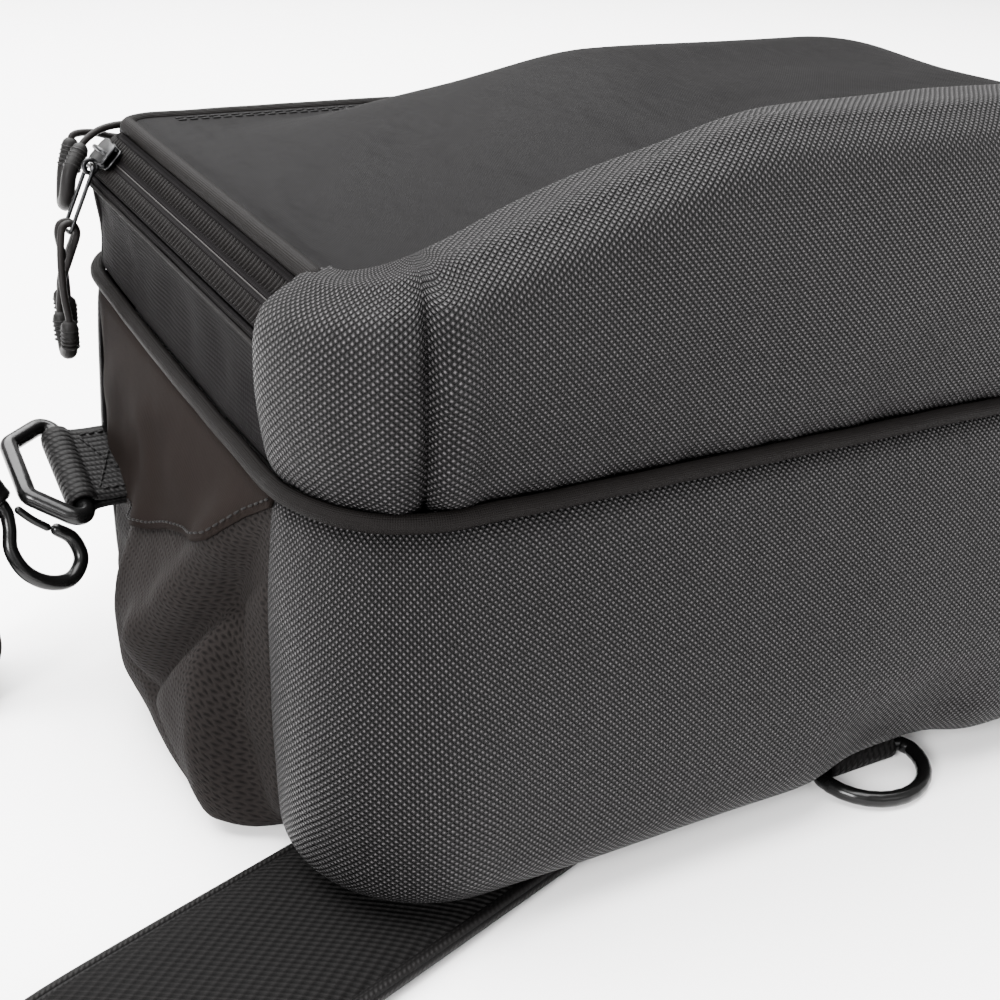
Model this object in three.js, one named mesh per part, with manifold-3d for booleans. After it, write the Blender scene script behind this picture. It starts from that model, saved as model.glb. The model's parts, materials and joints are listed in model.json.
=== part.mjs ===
// Soft camera bag lying on its back: base towards -Y, top towards +Y, front flap upwards.
// Millimetres, +Z up. The origin is the middle of the back pad's resting face.

import * as THREE from 'three';
import { RoundedBoxGeometry } from 'three/addons/geometries/RoundedBoxGeometry.js';
import { mergeVertices } from 'three/addons/utils/BufferGeometryUtils.js';
import Module from 'manifold-3d';

// ---------------------------------------------------------------- driving dimensions
const WIDTH = 330; // along the base
const HEIGHT = 200; // base to top, as worn
const BASE_CORNER = 34; // plan radius of the two base corners
const TOP_CORNER = 23; // plan radius of the two top corners
const BACK_Z = 8; // underside of the back panel
const EDGE_ROUND = 14; // rounding between the back panel and the walls
const BASE_BULGE = 12; // how far the base stands out below its piping
const WALL = 3.5; // padded fabric wall
const SEAM_Z = 109.2; // main piping at the base
const RIM_Z = 144; // rim of the compartment
const EDGE_Z = 159; // front flap at its piping
const CROWN = 31; // how far the front flap bulges above its piping
const CROWN_RUN = 97; // distance from the side piping over which it bulges
const TOP_RUN = 90; // the same from the top piping
const TOP_RISE = 10; // how much higher the rim stands at the top corners
const APRON = 33.5; // width of the base panel's turn onto the front
const PIPING_R = 2.3;
const FLAP_INSET = 15.5; // flap panel's edge, inside the outline
const TAPE = 1.2; // zip tape thickness
const GAP = 0.3;

const BACK_PAD = { width: 250, depth: 52, y: 60 };
const WEB = 36; // strap webbing width
const WEB_THICK = 1.8;
const STRAP_PAD_WIDTH = 56;
const WIRE_R = 2.3; // D-ring
const RING_R = 2.8; // triangular strap rings

const LINER = { floor: 8, wall: 7, bottom: 12, top: 140 };
const DIVIDER = 8;
const DIVIDER_X = 55;

const half = { x: WIDTH / 2, y: HEIGHT / 2 };

// ---------------------------------------------------------------- materials
const finish = {
  emboss: { color: 0x3c3a3a, roughness: 0.55, metalness: 0 },
  nylon: { color: 0x4b4849, roughness: 0.6, metalness: 0 },
  gusset: { color: 0x2d2b2b, roughness: 0.85, metalness: 0 },
  stretch: { color: 0x48403c, roughness: 0.9, metalness: 0 },
  piping: { color: 0x3e3c3a, roughness: 0.7, metalness: 0 },
  webbing: { color: 0x1c1b1b, roughness: 0.8, metalness: 0 },
  mesh: { color: 0x262525, roughness: 0.95, metalness: 0 },
  lining: { color: 0x55524f, roughness: 0.95, metalness: 0 },
  plastic: { color: 0x121212, roughness: 0.25, metalness: 0 },
  metal: { color: 0x3a3a3c, roughness: 0.3, metalness: 1 },
  rubber: { color: 0x2a2828, roughness: 0.6, metalness: 0 },
};

const bag = new THREE.Group();

function add(name, geometry, look) {
  const mesh = new THREE.Mesh(geometry, new THREE.MeshStandardMaterial(finish[look]));
  mesh.name = name;
  bag.add(mesh);
  return mesh;
}

// ---------------------------------------------------------------- shape helpers
const smooth = (t) => {
  const u = THREE.MathUtils.clamp(t, 0, 1);
  return u * u * (3 - 2 * u);
};

const V = (x, y, z) => new THREE.Vector3(x, y, z);

function signedVolume(points, faces) {
  let sum = 0;
  for (const [a, b, c] of faces) {
    sum += points[a].dot(points[b].clone().cross(points[c]));
  }
  return sum / 6;
}

// The flat polygon that closes one end of a loft, as triangles of its own indices.
function capTriangles(ring) {
  const normal = V(0, 0, 0);
  ring.forEach((p, i) => {
    normal.add(p.clone().cross(ring[(i + 1) % ring.length]));
  });
  normal.normalize();
  const u = ring[1].clone().sub(ring[0]).projectOnPlane(normal).normalize();
  const v = normal.clone().cross(u);
  const flat = ring.map((p) => new THREE.Vector2(p.dot(u), p.dot(v)));
  return THREE.ShapeUtils.triangulateShape(flat, []);
}

// A closed solid through rings of equal point count: capped at both ends, or joined end to end.
function loft(rings, closed = false) {
  const count = rings[0].length;
  const points = rings.flat();
  const faces = [];
  const spans = closed ? rings.length : rings.length - 1;
  for (let s = 0; s < spans; s += 1) {
    const a = s * count;
    const b = ((s + 1) % rings.length) * count;
    for (let i = 0; i < count; i += 1) {
      const j = (i + 1) % count;
      faces.push([a + i, b + i, b + j], [a + i, b + j, a + j]);
    }
  }
  if (!closed) {
    const last = (rings.length - 1) * count;
    capTriangles(rings[0]).forEach(([a, b, c]) => faces.push([a, b, c]));
    capTriangles(rings.at(-1)).forEach(([a, b, c]) => faces.push([last + a, last + c, last + b]));
  }
  if (signedVolume(points, faces) < 0) {
    faces.forEach((face) => face.reverse());
  }
  const geometry = new THREE.BufferGeometry();
  geometry.setAttribute('position', new THREE.Float32BufferAttribute(points.flatMap((p) => p.toArray()), 3));
  geometry.setIndex(faces.flat());
  return geometry;
}

// A round bar of radius r along a path, closed on itself or with flat ends.
function bar(points, r, sides = 8, closed = false) {
  const count = points.length;
  const tangent = (i) => {
    const next = closed ? points[(i + 1) % count] : points[Math.min(i + 1, count - 1)];
    const last = closed ? points[(i + count - 1) % count] : points[Math.max(i - 1, 0)];
    return next.clone().sub(last).normalize();
  };
  let across = Math.abs(tangent(0).z) < 0.9 ? V(0, 0, 1) : V(1, 0, 0);
  const rings = points.map((p, i) => {
    const t = tangent(i);
    across = across.clone().projectOnPlane(t).normalize();
    const side = t.clone().cross(across);
    return Array.from({ length: sides }, (_, k) => {
      const a = (2 * Math.PI * k) / sides;
      return p.clone().addScaledVector(across, r * Math.cos(a)).addScaledVector(side, r * Math.sin(a));
    });
  });
  return loft(rings, closed);
}

// Points along a smooth curve through hand-set points.
const curve = (points, steps, closed = false) => {
  const spline = new THREE.CatmullRomCurve3(points, closed, 'centripetal');
  const spaced = spline.getSpacedPoints(steps);
  return closed ? spaced.slice(0, -1) : spaced;
};

// Flat webbing along a path: each stop has a place p and the direction w of its width.
function ribbon(stops, width, thick, steps) {
  const path = new THREE.CatmullRomCurve3(stops.map((s) => s.p), false, 'centripetal');
  const turn = new THREE.CatmullRomCurve3(stops.map((s) => s.w), false, 'centripetal');
  const rings = Array.from({ length: steps + 1 }, (_, i) => {
    const t = i / steps;
    const p = path.getPoint(t);
    const along = path.getTangent(t);
    const w = turn.getPoint(t).projectOnPlane(along).normalize();
    const n = along.clone().cross(w);
    return [[-1, -1], [1, -1], [1, 1], [-1, 1]].map(([i2, j2]) => p
      .clone()
      .addScaledVector(w, (i2 * width) / 2)
      .addScaledVector(n, (j2 * thick) / 2));
  });
  return loft(rings);
}

const wasm = await Module();
wasm.setup();

function toManifold(geometry) {
  const bare = geometry.clone();
  bare.deleteAttribute('normal');
  bare.deleteAttribute('uv');
  const merged = mergeVertices(bare, 1e-4);
  return new wasm.Manifold(new wasm.Mesh({
    numProp: 3,
    vertProperties: Float32Array.from(merged.attributes.position.array),
    triVerts: Uint32Array.from(merged.index.array),
  }));
}

function fromManifold(solid) {
  const mesh = solid.getMesh();
  const geometry = new THREE.BufferGeometry();
  geometry.setAttribute('position', new THREE.BufferAttribute(mesh.vertProperties, 3));
  geometry.setIndex(new THREE.BufferAttribute(mesh.triVerts, 1));
  return geometry;
}

const join = (...geometries) => {
  return fromManifold(geometries.map(toManifold).reduce((sum, next) => sum.add(next)));
};
const cut = (body, tool) => fromManifold(toManifold(body).subtract(toManifold(tool)));

// A plate with rounded corners, lying in XY from z to z + thick.
function plate(width, depth, radius, z, thick) {
  const x = width / 2;
  const y = depth / 2;
  const shape = new THREE.Shape();
  shape.moveTo(-x + radius, -y);
  shape.lineTo(x - radius, -y);
  shape.absarc(x - radius, -y + radius, radius, -Math.PI / 2, 0);
  shape.absarc(x - radius, y - radius, radius, 0, Math.PI / 2);
  shape.absarc(-x + radius, y - radius, radius, Math.PI / 2, Math.PI);
  shape.absarc(-x + radius, -y + radius, radius, Math.PI, 1.5 * Math.PI);
  const geometry = new THREE.ExtrudeGeometry(shape, { depth: thick, bevelEnabled: false, curveSegments: 5 });
  return geometry.translate(0, 0, z);
}

// ---------------------------------------------------------------- the bag's outline in plan
// A station is a place on the outline with the direction that points out of the bag there.
const station = (x, y, nx, ny) => ({ x, y, nx, ny });

function arc(cx, cy, radius, from, to, steps) {
  return Array.from({ length: steps + 1 }, (_, i) => {
    const a = THREE.MathUtils.degToRad(from + ((to - from) * i) / steps);
    return station(cx + radius * Math.cos(a), cy + radius * Math.sin(a), Math.cos(a), Math.sin(a));
  });
}

const sideY = { base: -half.y + BASE_CORNER, top: half.y - TOP_CORNER };
const baseCentre = half.x - BASE_CORNER;
const topCentre = half.x - TOP_CORNER;
const CORNER_STEPS = 6;

// Round the base, from the left side to the right side.
const BASE_STEPS = 12;
const baseRun = [
  ...arc(-baseCentre, sideY.base, BASE_CORNER, 180, 270, CORNER_STEPS),
  ...Array.from({ length: BASE_STEPS - 1 }, (_, i) => {
    const x = -baseCentre + (2 * baseCentre * (i + 1)) / BASE_STEPS;
    return station(x, -half.y, 0, -1);
  }),
  ...arc(baseCentre, sideY.base, BASE_CORNER, 270, 360, CORNER_STEPS),
];

// Up one side, from the base to the top; side is -1 on the left and 1 on the right.
const SIDE_STEPS = 6;
const sideRun = (side, from = sideY.base, to = sideY.top) => Array.from({ length: SIDE_STEPS + 1 }, (_, i) => {
  return station(side * half.x, from + ((to - from) * i) / SIDE_STEPS, side, 0);
});

// Round the top, from the right side to the left side.
const topRun = [
  ...arc(topCentre, sideY.top, TOP_CORNER, 0, 90, CORNER_STEPS),
  ...arc(-topCentre, sideY.top, TOP_CORNER, 90, 180, CORNER_STEPS),
];

const off = (s, d, z) => V(s.x + s.nx * d, s.y + s.ny * d, z);

// Sweeps a section [[offset, z], ...], which may change along the run, around stations.
const band = (run, section, closed = false) => loft(run.map((s) => section(s).map(([d, z]) => off(s, d, z))), closed);

// Heights that change from base to top.
const fromBase = (y) => y + half.y;
const seamZ = (y) => SEAM_Z + 0.02 * fromBase(y) + 0.00034 * fromBase(y) ** 2;
const RISE_START = -66;
const RISE_RUN = 143;
const rise = (y) => TOP_RISE * THREE.MathUtils.clamp((y - RISE_START) / RISE_RUN, 0, 1);

// Rises evenly from 0 and rounds off into 1.
function swell(t) {
  const u = THREE.MathUtils.clamp(t, 0, 1.15);
  return u < 0.85 ? u : 1 - (1.15 - u) ** 2 / 0.6;
}

// The bulging front surface, over any point in plan.
function frontZ(x, y) {
  const fromSide = half.x - FLAP_INSET - Math.abs(x);
  const fromTop = half.y - FLAP_INSET - y;
  return EDGE_Z + rise(y) + CROWN * swell(fromSide / CROWN_RUN) * smooth(fromTop / TOP_RUN);
}

// ---------------------------------------------------------------- walls below the main piping
const SEAM_GAP = PIPING_R + GAP;

function lowerSection(s) {
  const top = seamZ(s.y) - SEAM_GAP;
  const bulge = BASE_BULGE * Math.max(0, -s.ny);
  const foot = BACK_Z + EDGE_ROUND;
  const outer = [];
  const wallSteps = 4;
  for (let i = 0; i <= wallSteps; i += 1) {
    const t = i / wallSteps;
    outer.push([bulge * smooth(t), top + (foot - top) * t]);
  }
  const inner = outer.map(([d, z]) => [d - WALL, z]);
  const roundSteps = 4;
  for (let i = 1; i <= roundSteps; i += 1) {
    const a = (Math.PI / 2) * (i / roundSteps);
    const [c, n] = [Math.cos(a), Math.sin(a)];
    const centre = bulge - EDGE_ROUND;
    outer.push([centre + EDGE_ROUND * c, foot - EDGE_ROUND * n]);
    inner.push([centre + (EDGE_ROUND - WALL) * c, foot - (EDGE_ROUND - WALL) * n]);
  }
  outer.push([-EDGE_ROUND - GAP, BACK_Z]);
  inner.push([-EDGE_ROUND - GAP, BACK_Z + WALL]);
  return [...outer, ...inner.reverse()];
}

const upperSection = (s) => {
  const bottom = seamZ(s.y) + SEAM_GAP;
  const top = RIM_Z + rise(s.y);
  return [[0, bottom], [0, top], [-WALL, top], [-WALL, bottom]];
};

add('base_lower_panel', band(baseRun, lowerSection), 'emboss');
add('base_upper_panel', band(baseRun, upperSection), 'emboss');
for (const [name, side] of [['left', -1], ['right', 1]]) {
  const run = sideRun(side, sideY.base + GAP, sideY.top - GAP);
  add(`${name}_side_wall`, band(run, lowerSection), 'stretch');
  add(`${name}_gusset`, band(run, upperSection), 'gusset');
}
add('top_lower_wall', band(topRun, lowerSection), 'gusset');
add('top_gusset', band(topRun, upperSection), 'gusset');

const loop = [
  ...baseRun,
  ...sideRun(1).slice(1, -1),
  ...topRun,
  ...sideRun(-1).reverse().slice(1, -1),
];

function roundSection(centre, z, r, sides = 8) {
  return Array.from({ length: sides }, (_, k) => {
    const a = (2 * Math.PI * k) / sides;
    return [centre + r * Math.cos(a), z + r * Math.sin(a)];
  });
}

add('main_piping', band(loop, (s) => roundSection(-0.6, seamZ(s.y), PIPING_R), true), 'piping');

const backInset = EDGE_ROUND + 2 * GAP;
add('back_panel', plate(
  WIDTH - 2 * backInset,
  HEIGHT - 2 * backInset,
  BASE_CORNER - backInset,
  BACK_Z,
  WALL,
), 'nylon');
add('back_pad', plate(BACK_PAD.width, BACK_PAD.depth, 14, 0, BACK_Z - GAP).translate(0, BACK_PAD.y, 0), 'mesh');

// ---------------------------------------------------------------- base panel's turn onto the front
const APRON_ROUND = 14;

function apronSection(s) {
  const bottom = RIM_Z + GAP;
  const height = (d) => frontZ(s.x + s.nx * d, Math.min(s.y + s.ny * d, sideY.base));
  const outer = [[0, bottom]];
  const inner = [[-WALL, bottom]];
  const steps = 4;
  for (let i = 0; i <= steps; i += 1) {
    const a = (Math.PI / 2) * (i / steps);
    const [c, n] = [Math.cos(a), Math.sin(a)];
    const z = height(-APRON_ROUND) - APRON_ROUND;
    outer.push([-APRON_ROUND + APRON_ROUND * c, z + APRON_ROUND * n]);
    inner.push([-APRON_ROUND + (APRON_ROUND - WALL) * c, z + (APRON_ROUND - WALL) * n]);
  }
  outer.push([-APRON, height(-APRON)]);
  inner.push([-APRON, height(-APRON) - WALL]);
  return [...outer, ...inner.reverse()];
}

add('front_apron', band(baseRun, apronSection), 'emboss');

// ---------------------------------------------------------------- front flap
function flapPanel() {
  const yNear = sideY.base + GAP;
  const edge = { x: half.x - FLAP_INSET, y: half.y - FLAP_INSET };
  const corner = 8;
  const rows = 9;
  const farEdge = (x) => {
    const into = Math.max(0, Math.abs(x) - (edge.x - corner));
    return edge.y - corner + Math.sqrt(Math.max(0, corner ** 2 - into ** 2));
  };
  const xs = [];
  for (let i = 0; i <= 4; i += 1) {
    xs.push(-edge.x + corner * (1 - Math.cos((Math.PI / 2) * (i / 4))));
  }
  const inner = edge.x - corner;
  for (let i = 1; i < 14; i += 1) {
    xs.push(-inner + (2 * inner * i) / 14);
  }
  xs.push(...xs.slice(0, 5).map((x) => -x).reverse());
  const rings = xs.map((x) => {
    const ys = Array.from({ length: rows + 1 }, (_, j) => yNear + ((farEdge(x) - yNear) * j) / rows);
    const top = ys.map((y) => V(x, y, frontZ(x, y)));
    const under = ys.map((y) => V(x, y, frontZ(x, y) - WALL)).reverse();
    return [...top, ...under];
  });
  return loft(rings);
}
add('flap_panel', flapPanel(), 'nylon');

const zipRun = [
  ...sideRun(1, sideY.base + 2 * GAP),
  ...topRun.slice(1, -1),
  ...sideRun(-1, sideY.base + 2 * GAP).reverse(),
];
add('flap_piping', band(zipRun, (s) => roundSection(-12.4, EDGE_Z - 1.8 + rise(s.y), PIPING_R)), 'piping');

// Both zip tapes lie on one 45 degree slope between the rim and the flap's piping.
const zipZ = (s) => RIM_Z + 1.6 + rise(s.y);
function tapeSection(s, from, to) {
  const fold = TAPE * Math.SQRT1_2;
  const z = zipZ(s);
  return [
    [-from, z + from],
    [-to, z + to],
    [-to - fold, z + to - fold],
    [-from - fold, z + from - fold],
  ];
}
add('zip_tape_body', band(zipRun, (s) => tapeSection(s, 0.4, 4.4)), 'gusset');
add('zip_tape_flap', band(zipRun, (s) => tapeSection(s, 4.9, 9.3)), 'gusset');

// ---------------------------------------------------------------- padded insert and dividers
const linerWallHeight = LINER.top - LINER.bottom - LINER.floor - GAP - 1;
const linerWallZ = LINER.top - linerWallHeight / 2;
const linerInset = 7;

function cushion(x, y, z, round = 2) {
  return new RoundedBoxGeometry(x, y, z, 2, round);
}

add('liner_floor', plate(284, 154, 12, LINER.bottom, LINER.floor), 'lining');
const linerWalls = [
  ['liner_wall_base', 270, LINER.wall, 0, -half.y + linerInset + LINER.wall / 2],
  ['liner_wall_top', 270, LINER.wall, 0, half.y - linerInset - LINER.wall / 2],
  ['liner_wall_left', LINER.wall, 142, -half.x + linerInset + LINER.wall / 2, 0],
  ['liner_wall_right', LINER.wall, 142, half.x - linerInset - LINER.wall / 2, 0],
];
for (const [name, sx, sy, x, y] of linerWalls) {
  const wall = add(name, cushion(sx, sy, linerWallHeight), 'lining');
  wall.position.set(x, y, linerWallZ);
}

const dividerHeight = 114;
const dividerZ = LINER.bottom + LINER.floor + GAP + 0.4 + dividerHeight / 2;
const dividerSpan = HEIGHT - 2 * (linerInset + LINER.wall) - 3;
for (const [name, side] of [['left', -1], ['right', 1]]) {
  const divider = add(`divider_${name}`, cushion(DIVIDER, dividerSpan, dividerHeight, 3), 'lining');
  divider.position.set(side * DIVIDER_X, 0, dividerZ);
}
const crossSpan = 68;
const crossHeight = 90;
const cross = add('divider_cross', cushion(crossSpan, DIVIDER, crossHeight, 3), 'lining');
cross.position.set(
  DIVIDER_X + DIVIDER / 2 + GAP + crossSpan / 2,
  0,
  dividerZ - (dividerHeight - crossHeight) / 2,
);

// ---------------------------------------------------------------- stretch side pockets
// Bulge of the pocket's wall in section: [distance out from the side, height].
const pocketOutline = [[0.5, 98], [7, 88], [12.5, 66], [15.5, 42], [15.5, 22], [10, 9], [1, 8.8]];
const POCKET_SKIN = 2;

function pocket(side) {
  const yBase = -64;
  const yMouth = 28;
  const steps = 8;
  const rings = Array.from({ length: steps + 1 }, (_, i) => {
    const t = i / steps;
    const y = yBase + (yMouth - yBase) * t;
    const bulge = 0.16 + 0.84 * smooth(t / 0.55) - 0.12 * smooth((t - 0.75) / 0.25);
    const outer = pocketOutline.map(([d, z]) => [0.5 + (d - 0.5) * bulge + POCKET_SKIN, z]);
    const middle = 52;
    const inner = pocketOutline.map(([d, z]) => {
      return [0.5 + (d - 0.5) * bulge, middle + (z - middle) * (1 - POCKET_SKIN / 50)];
    });
    return [...outer, ...inner.reverse()].map(([d, z]) => V(side * (half.x + d), y, z));
  });
  return loft(rings);
}
add('left_pocket', pocket(-1), 'stretch');
add('right_pocket', pocket(1), 'stretch');

// ---------------------------------------------------------------- strap rings on webbing tabs
// Each ring lies in a tab whose fold runs up the bag and is tipped towards the front.
const TAB = { y: 66, z: 67, tip: THREE.MathUtils.degToRad(20), width: 33, barOut: 18 };
const RING = { halfBar: 25, halfEnd: 12, depth: 16, lift: THREE.MathUtils.degToRad(14) };

// A point out from the side by o, along the fold by f and above the fold by u.
function atTab(side, o, f, u) {
  const [c, s] = [Math.cos(TAB.tip), Math.sin(TAB.tip)];
  return V(side * (half.x + o), TAB.y + f * c - u * s, TAB.z + f * s + u * c);
}

function tab(side) {
  const inside = RING_R + 0.5;
  const outside = inside + 1.6;
  const neck = { outside: Math.asin(2.2 / outside), inside: Math.asin(0.5 / inside) };
  const around = (r, from, to) => Array.from({ length: 13 }, (_, i) => {
    const a = from + ((to - from) * i) / 12;
    return [TAB.barOut + r * Math.cos(a), r * Math.sin(a)];
  });
  const outline = [
    [0.6, 2.2],
    ...around(outside, Math.PI - neck.outside, neck.outside - Math.PI),
    [0.6, -2.2],
    [0.6, -0.5],
    ...around(inside, neck.inside - Math.PI, Math.PI - neck.inside),
    [0.6, 0.5],
  ];
  const ends = [-TAB.width / 2, TAB.width / 2];
  return loft(ends.map((f) => outline.map(([o, u]) => atTab(side, o, f, u))));
}

// Straight runs between corners that are turned with a radius, as a closed path.
function roundedPath(corners, radius, steps = 4) {
  return corners.flatMap((p, i) => {
    const last = corners[(i + corners.length - 1) % corners.length];
    const next = corners[(i + 1) % corners.length];
    const u = last.clone().sub(p).normalize();
    const v = next.clone().sub(p).normalize();
    const halfAngle = u.angleTo(v) / 2;
    const back = radius / Math.tan(halfAngle);
    const centre = p.clone().addScaledVector(u.clone().add(v).normalize(), radius / Math.sin(halfAngle));
    const start = p.clone().addScaledVector(u, back).sub(centre);
    const end = p.clone().addScaledVector(v, back).sub(centre);
    const turn = Math.PI - 2 * halfAngle;
    return Array.from({ length: steps + 1 }, (_, k) => {
      const t = k / steps;
      return centre
        .clone()
        .addScaledVector(start, Math.sin((1 - t) * turn) / Math.sin(turn))
        .addScaledVector(end, Math.sin(t * turn) / Math.sin(turn));
    });
  });
}

function strapRing(side) {
  const across = [
    [0, -RING.halfBar],
    [0, RING.halfBar],
    [RING.depth, RING.halfEnd],
    [RING.depth, -RING.halfEnd],
  ];
  const corners = across.map(([o, f]) => {
    return atTab(side, TAB.barOut + o * Math.cos(RING.lift), f, o * Math.sin(RING.lift));
  });
  return bar(roundedPath(corners, 3.4, 6), RING_R, 10, true);
}

// ---------------------------------------------------------------- swivel snap hooks
// The hook's own frame: a along it from the barrel to the bow, b across towards the gate.
const HOOK = {
  start: { o: 41.5, y: 54, z: 65 },
  along: V(0.48, -0.3, -0.824).normalize(),
};
const hookB = V(0.74, 0.46, 0.49).projectOnPlane(HOOK.along).normalize();

function atHook(side, a, b, c = 0) {
  const thick = HOOK.along.clone().cross(hookB);
  const p = V(0, 0, 0)
    .addScaledVector(HOOK.along, a)
    .addScaledVector(hookB, b)
    .addScaledVector(thick, c);
  return V(side * (half.x + HOOK.start.o - p.x), HOOK.start.y + p.y, HOOK.start.z + p.z);
}

function hookBody(side) {
  const bow = [
    [0.5, 0], [3, -0.4], [7, -2.6], [12, -6.5], [20, -7.5],
    [27, -4], [30.5, 2], [28, 8.5], [21.5, 10.5], [16.5, 8.5],
  ].map(([a, b]) => atHook(side, a, b));
  return bar(curve(bow, 26), 2.4, 8);
}

function gate(side) {
  const run = [[4.6, 3.2], [9.5, 4.6], [14, 6.6]].map(([a, b]) => atHook(side, a, b));
  return bar(run, 1.2, 8);
}

// The direction of the eye's webbing bar.
function eyeAxis(side) {
  const axis = V(0, 1, 0).projectOnPlane(HOOK.along).normalize();
  return V(-side * axis.x, axis.y, axis.z);
}

// Barrel and webbing eye, made along the hook's length behind its root.
function swivel(side) {
  const barrelLength = 11;
  const barrelR = 4.6;
  const start = atHook(side, -GAP, 0);
  const end = atHook(side, -GAP - barrelLength, 0);
  const barrel = bar([start, end], barrelR, 12);
  const eye = WEB / 2 + 2.6;
  const corners = [[-11, -5], [-11, 5], [-18, eye], [-27, eye], [-27, -eye], [-18, -eye]];
  const path = roundedPath(corners.map(([a, w]) => {
    return atHook(side, a, 0).addScaledVector(eyeAxis(side), w);
  }), 3);
  return join(barrel, bar(path, 2, 8, true));
}

for (const [name, side] of [['left', -1], ['right', 1]]) {
  add(`${name}_tab`, tab(side), 'webbing');
  add(`${name}_ring`, strapRing(side), 'plastic');
  add(`${name}_hook`, hookBody(side), 'plastic');
  add(`${name}_gate`, gate(side), 'plastic');
  add(`${name}_swivel`, swivel(side), 'plastic');
}

// ---------------------------------------------------------------- shoulder strap
// A point in the eye's frame: a along the hook, n out of the eye's plane towards the bag.
function atEye(side, a, n) {
  const out = HOOK.along.clone().cross(V(0, 1, 0)).normalize().multiplyScalar(n);
  const p = atHook(side, a, 0);
  return V(p.x - side * out.x, p.y + out.y, p.z + out.z);
}

const upBag = V(0, 1, 0);
const onEdge = V(0, 0, 1);
const eyeTurn = [[-21, 3.4], [-27, 3.8], [-31, 0], [-27, -3.8], [-21, -4.2], [-14, -6]];
const aroundEye = (side) => eyeTurn.map(([a, n]) => {
  return { p: atEye(side, a, n), w: eyeAxis(side) };
});

// The pad lies under the bag from beside the base's left corner, on the line of the strap.
const STRAP = { x: -240, y: -117, length: 263, angle: Math.atan(0.326) };
const strapDir = V(Math.cos(STRAP.angle), Math.sin(STRAP.angle), 0);
const strapAcross = V(-strapDir.y, strapDir.x, 0);
const strapAt = (along, z) => V(STRAP.x, STRAP.y, z).addScaledVector(strapDir, along);
const padMiddle = (BACK_Z - GAP) / 2;

const strapPad = add('strap_pad', plate(STRAP.length, STRAP_PAD_WIDTH, 10, 0, BACK_Z - GAP), 'mesh');
strapPad.position.copy(strapAt(STRAP.length / 2, 0));
strapPad.rotation.z = STRAP.angle;

const ADJUSTER = { x: -304, y: -18, z: 20.9, length: 24, height: 41.6, thick: 8 };
const strapLeft = [
  ...aroundEye(-1),
  { p: V(-220, 66, 50), w: upBag },
  { p: V(-215, 67, 35), w: upBag },
  { p: V(-213, 67, 20), w: upBag },
  { p: V(-220, 66, 8), w: upBag },
  { p: V(-236, 64, 2.6), w: upBag },
  { p: V(-250, 62, 4.6), w: V(0, 1, 0.15) },
  { p: V(-268, 58, 13), w: V(0, 0.8, 0.6) },
  { p: V(-284, 50, 19.4), w: V(0, 0.35, 0.94) },
  { p: V(-297, 36, 21.2), w: V(0, 0.06, 1) },
  { p: V(-303.4, 18, ADJUSTER.z), w: onEdge },
  { p: V(ADJUSTER.x, 0, ADJUSTER.z), w: onEdge },
  { p: V(ADJUSTER.x, -20, ADJUSTER.z), w: onEdge },
  { p: V(ADJUSTER.x, -46, ADJUSTER.z), w: onEdge },
  { p: V(ADJUSTER.x, -72, ADJUSTER.z), w: onEdge },
  { p: V(-299.5, -96, 20.9), w: onEdge },
  { p: V(-288, -117, 20.4), w: V(-0.12, 0.15, 1) },
  { p: V(-272, -126, 17.4), w: V(-0.25, 0.6, 0.75) },
  { p: V(-257, -124, 9.5), w: V(-0.31, 0.9, 0.32) },
  { p: strapAt(-6, 4.6), w: strapAcross },
  { p: strapAt(-1, padMiddle), w: strapAcross },
];
add('strap_web_left', ribbon(strapLeft, WEB, WEB_THICK, 72), 'webbing');

const strapRight = [
  ...aroundEye(1),
  { p: V(226, 62, 54), w: upBag },
  { p: V(231, 58, 40), w: upBag },
  { p: V(236, 54, 22), w: upBag },
  { p: V(231, 46, 8), w: V(-0.15, 1, 0) },
  { p: strapAt(466, 3), w: strapAcross },
  { p: strapAt(440, 3.4), w: strapAcross },
  { p: strapAt(350, padMiddle), w: strapAcross },
  { p: strapAt(STRAP.length + 1, padMiddle), w: strapAcross },
];
add('strap_web_right', ribbon(strapRight, WEB, WEB_THICK, 44), 'webbing');

const adjusterFrame = cut(
  new RoundedBoxGeometry(ADJUSTER.thick, ADJUSTER.length, ADJUSTER.height, 2, 1.5),
  new THREE.BoxGeometry(ADJUSTER.thick - 4, ADJUSTER.length + 2, WEB + 0.8),
);
add('strap_adjuster', adjusterFrame, 'plastic').position.set(ADJUSTER.x, ADJUSTER.y, ADJUSTER.z);

// ---------------------------------------------------------------- accessory ring at the base's back edge
const DEE = { y: -98, z: 4, halfWidth: 17, drop: -1.6, reach: 20.2, corner: 4 };

function deeRing() {
  const straight = DEE.reach - DEE.halfWidth;
  const steps = 14;
  const flat = [[-DEE.halfWidth + DEE.corner, 0], [DEE.halfWidth - DEE.corner, 0], [DEE.halfWidth - 1.2, 1.2]];
  for (let i = 0; i <= steps; i += 1) {
    const a = (Math.PI * i) / steps;
    flat.push([DEE.halfWidth * Math.cos(a), straight + 1 + (DEE.halfWidth - 1) * Math.sin(a)]);
  }
  flat.push([-DEE.halfWidth + 1.2, 1.2]);
  return bar(flat.map(([x, out]) => {
    return V(x, DEE.y - out, DEE.z + (DEE.drop * out) / DEE.reach);
  }), WIRE_R, 10, true);
}
add('base_dee_ring', deeRing(), 'plastic');

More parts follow.
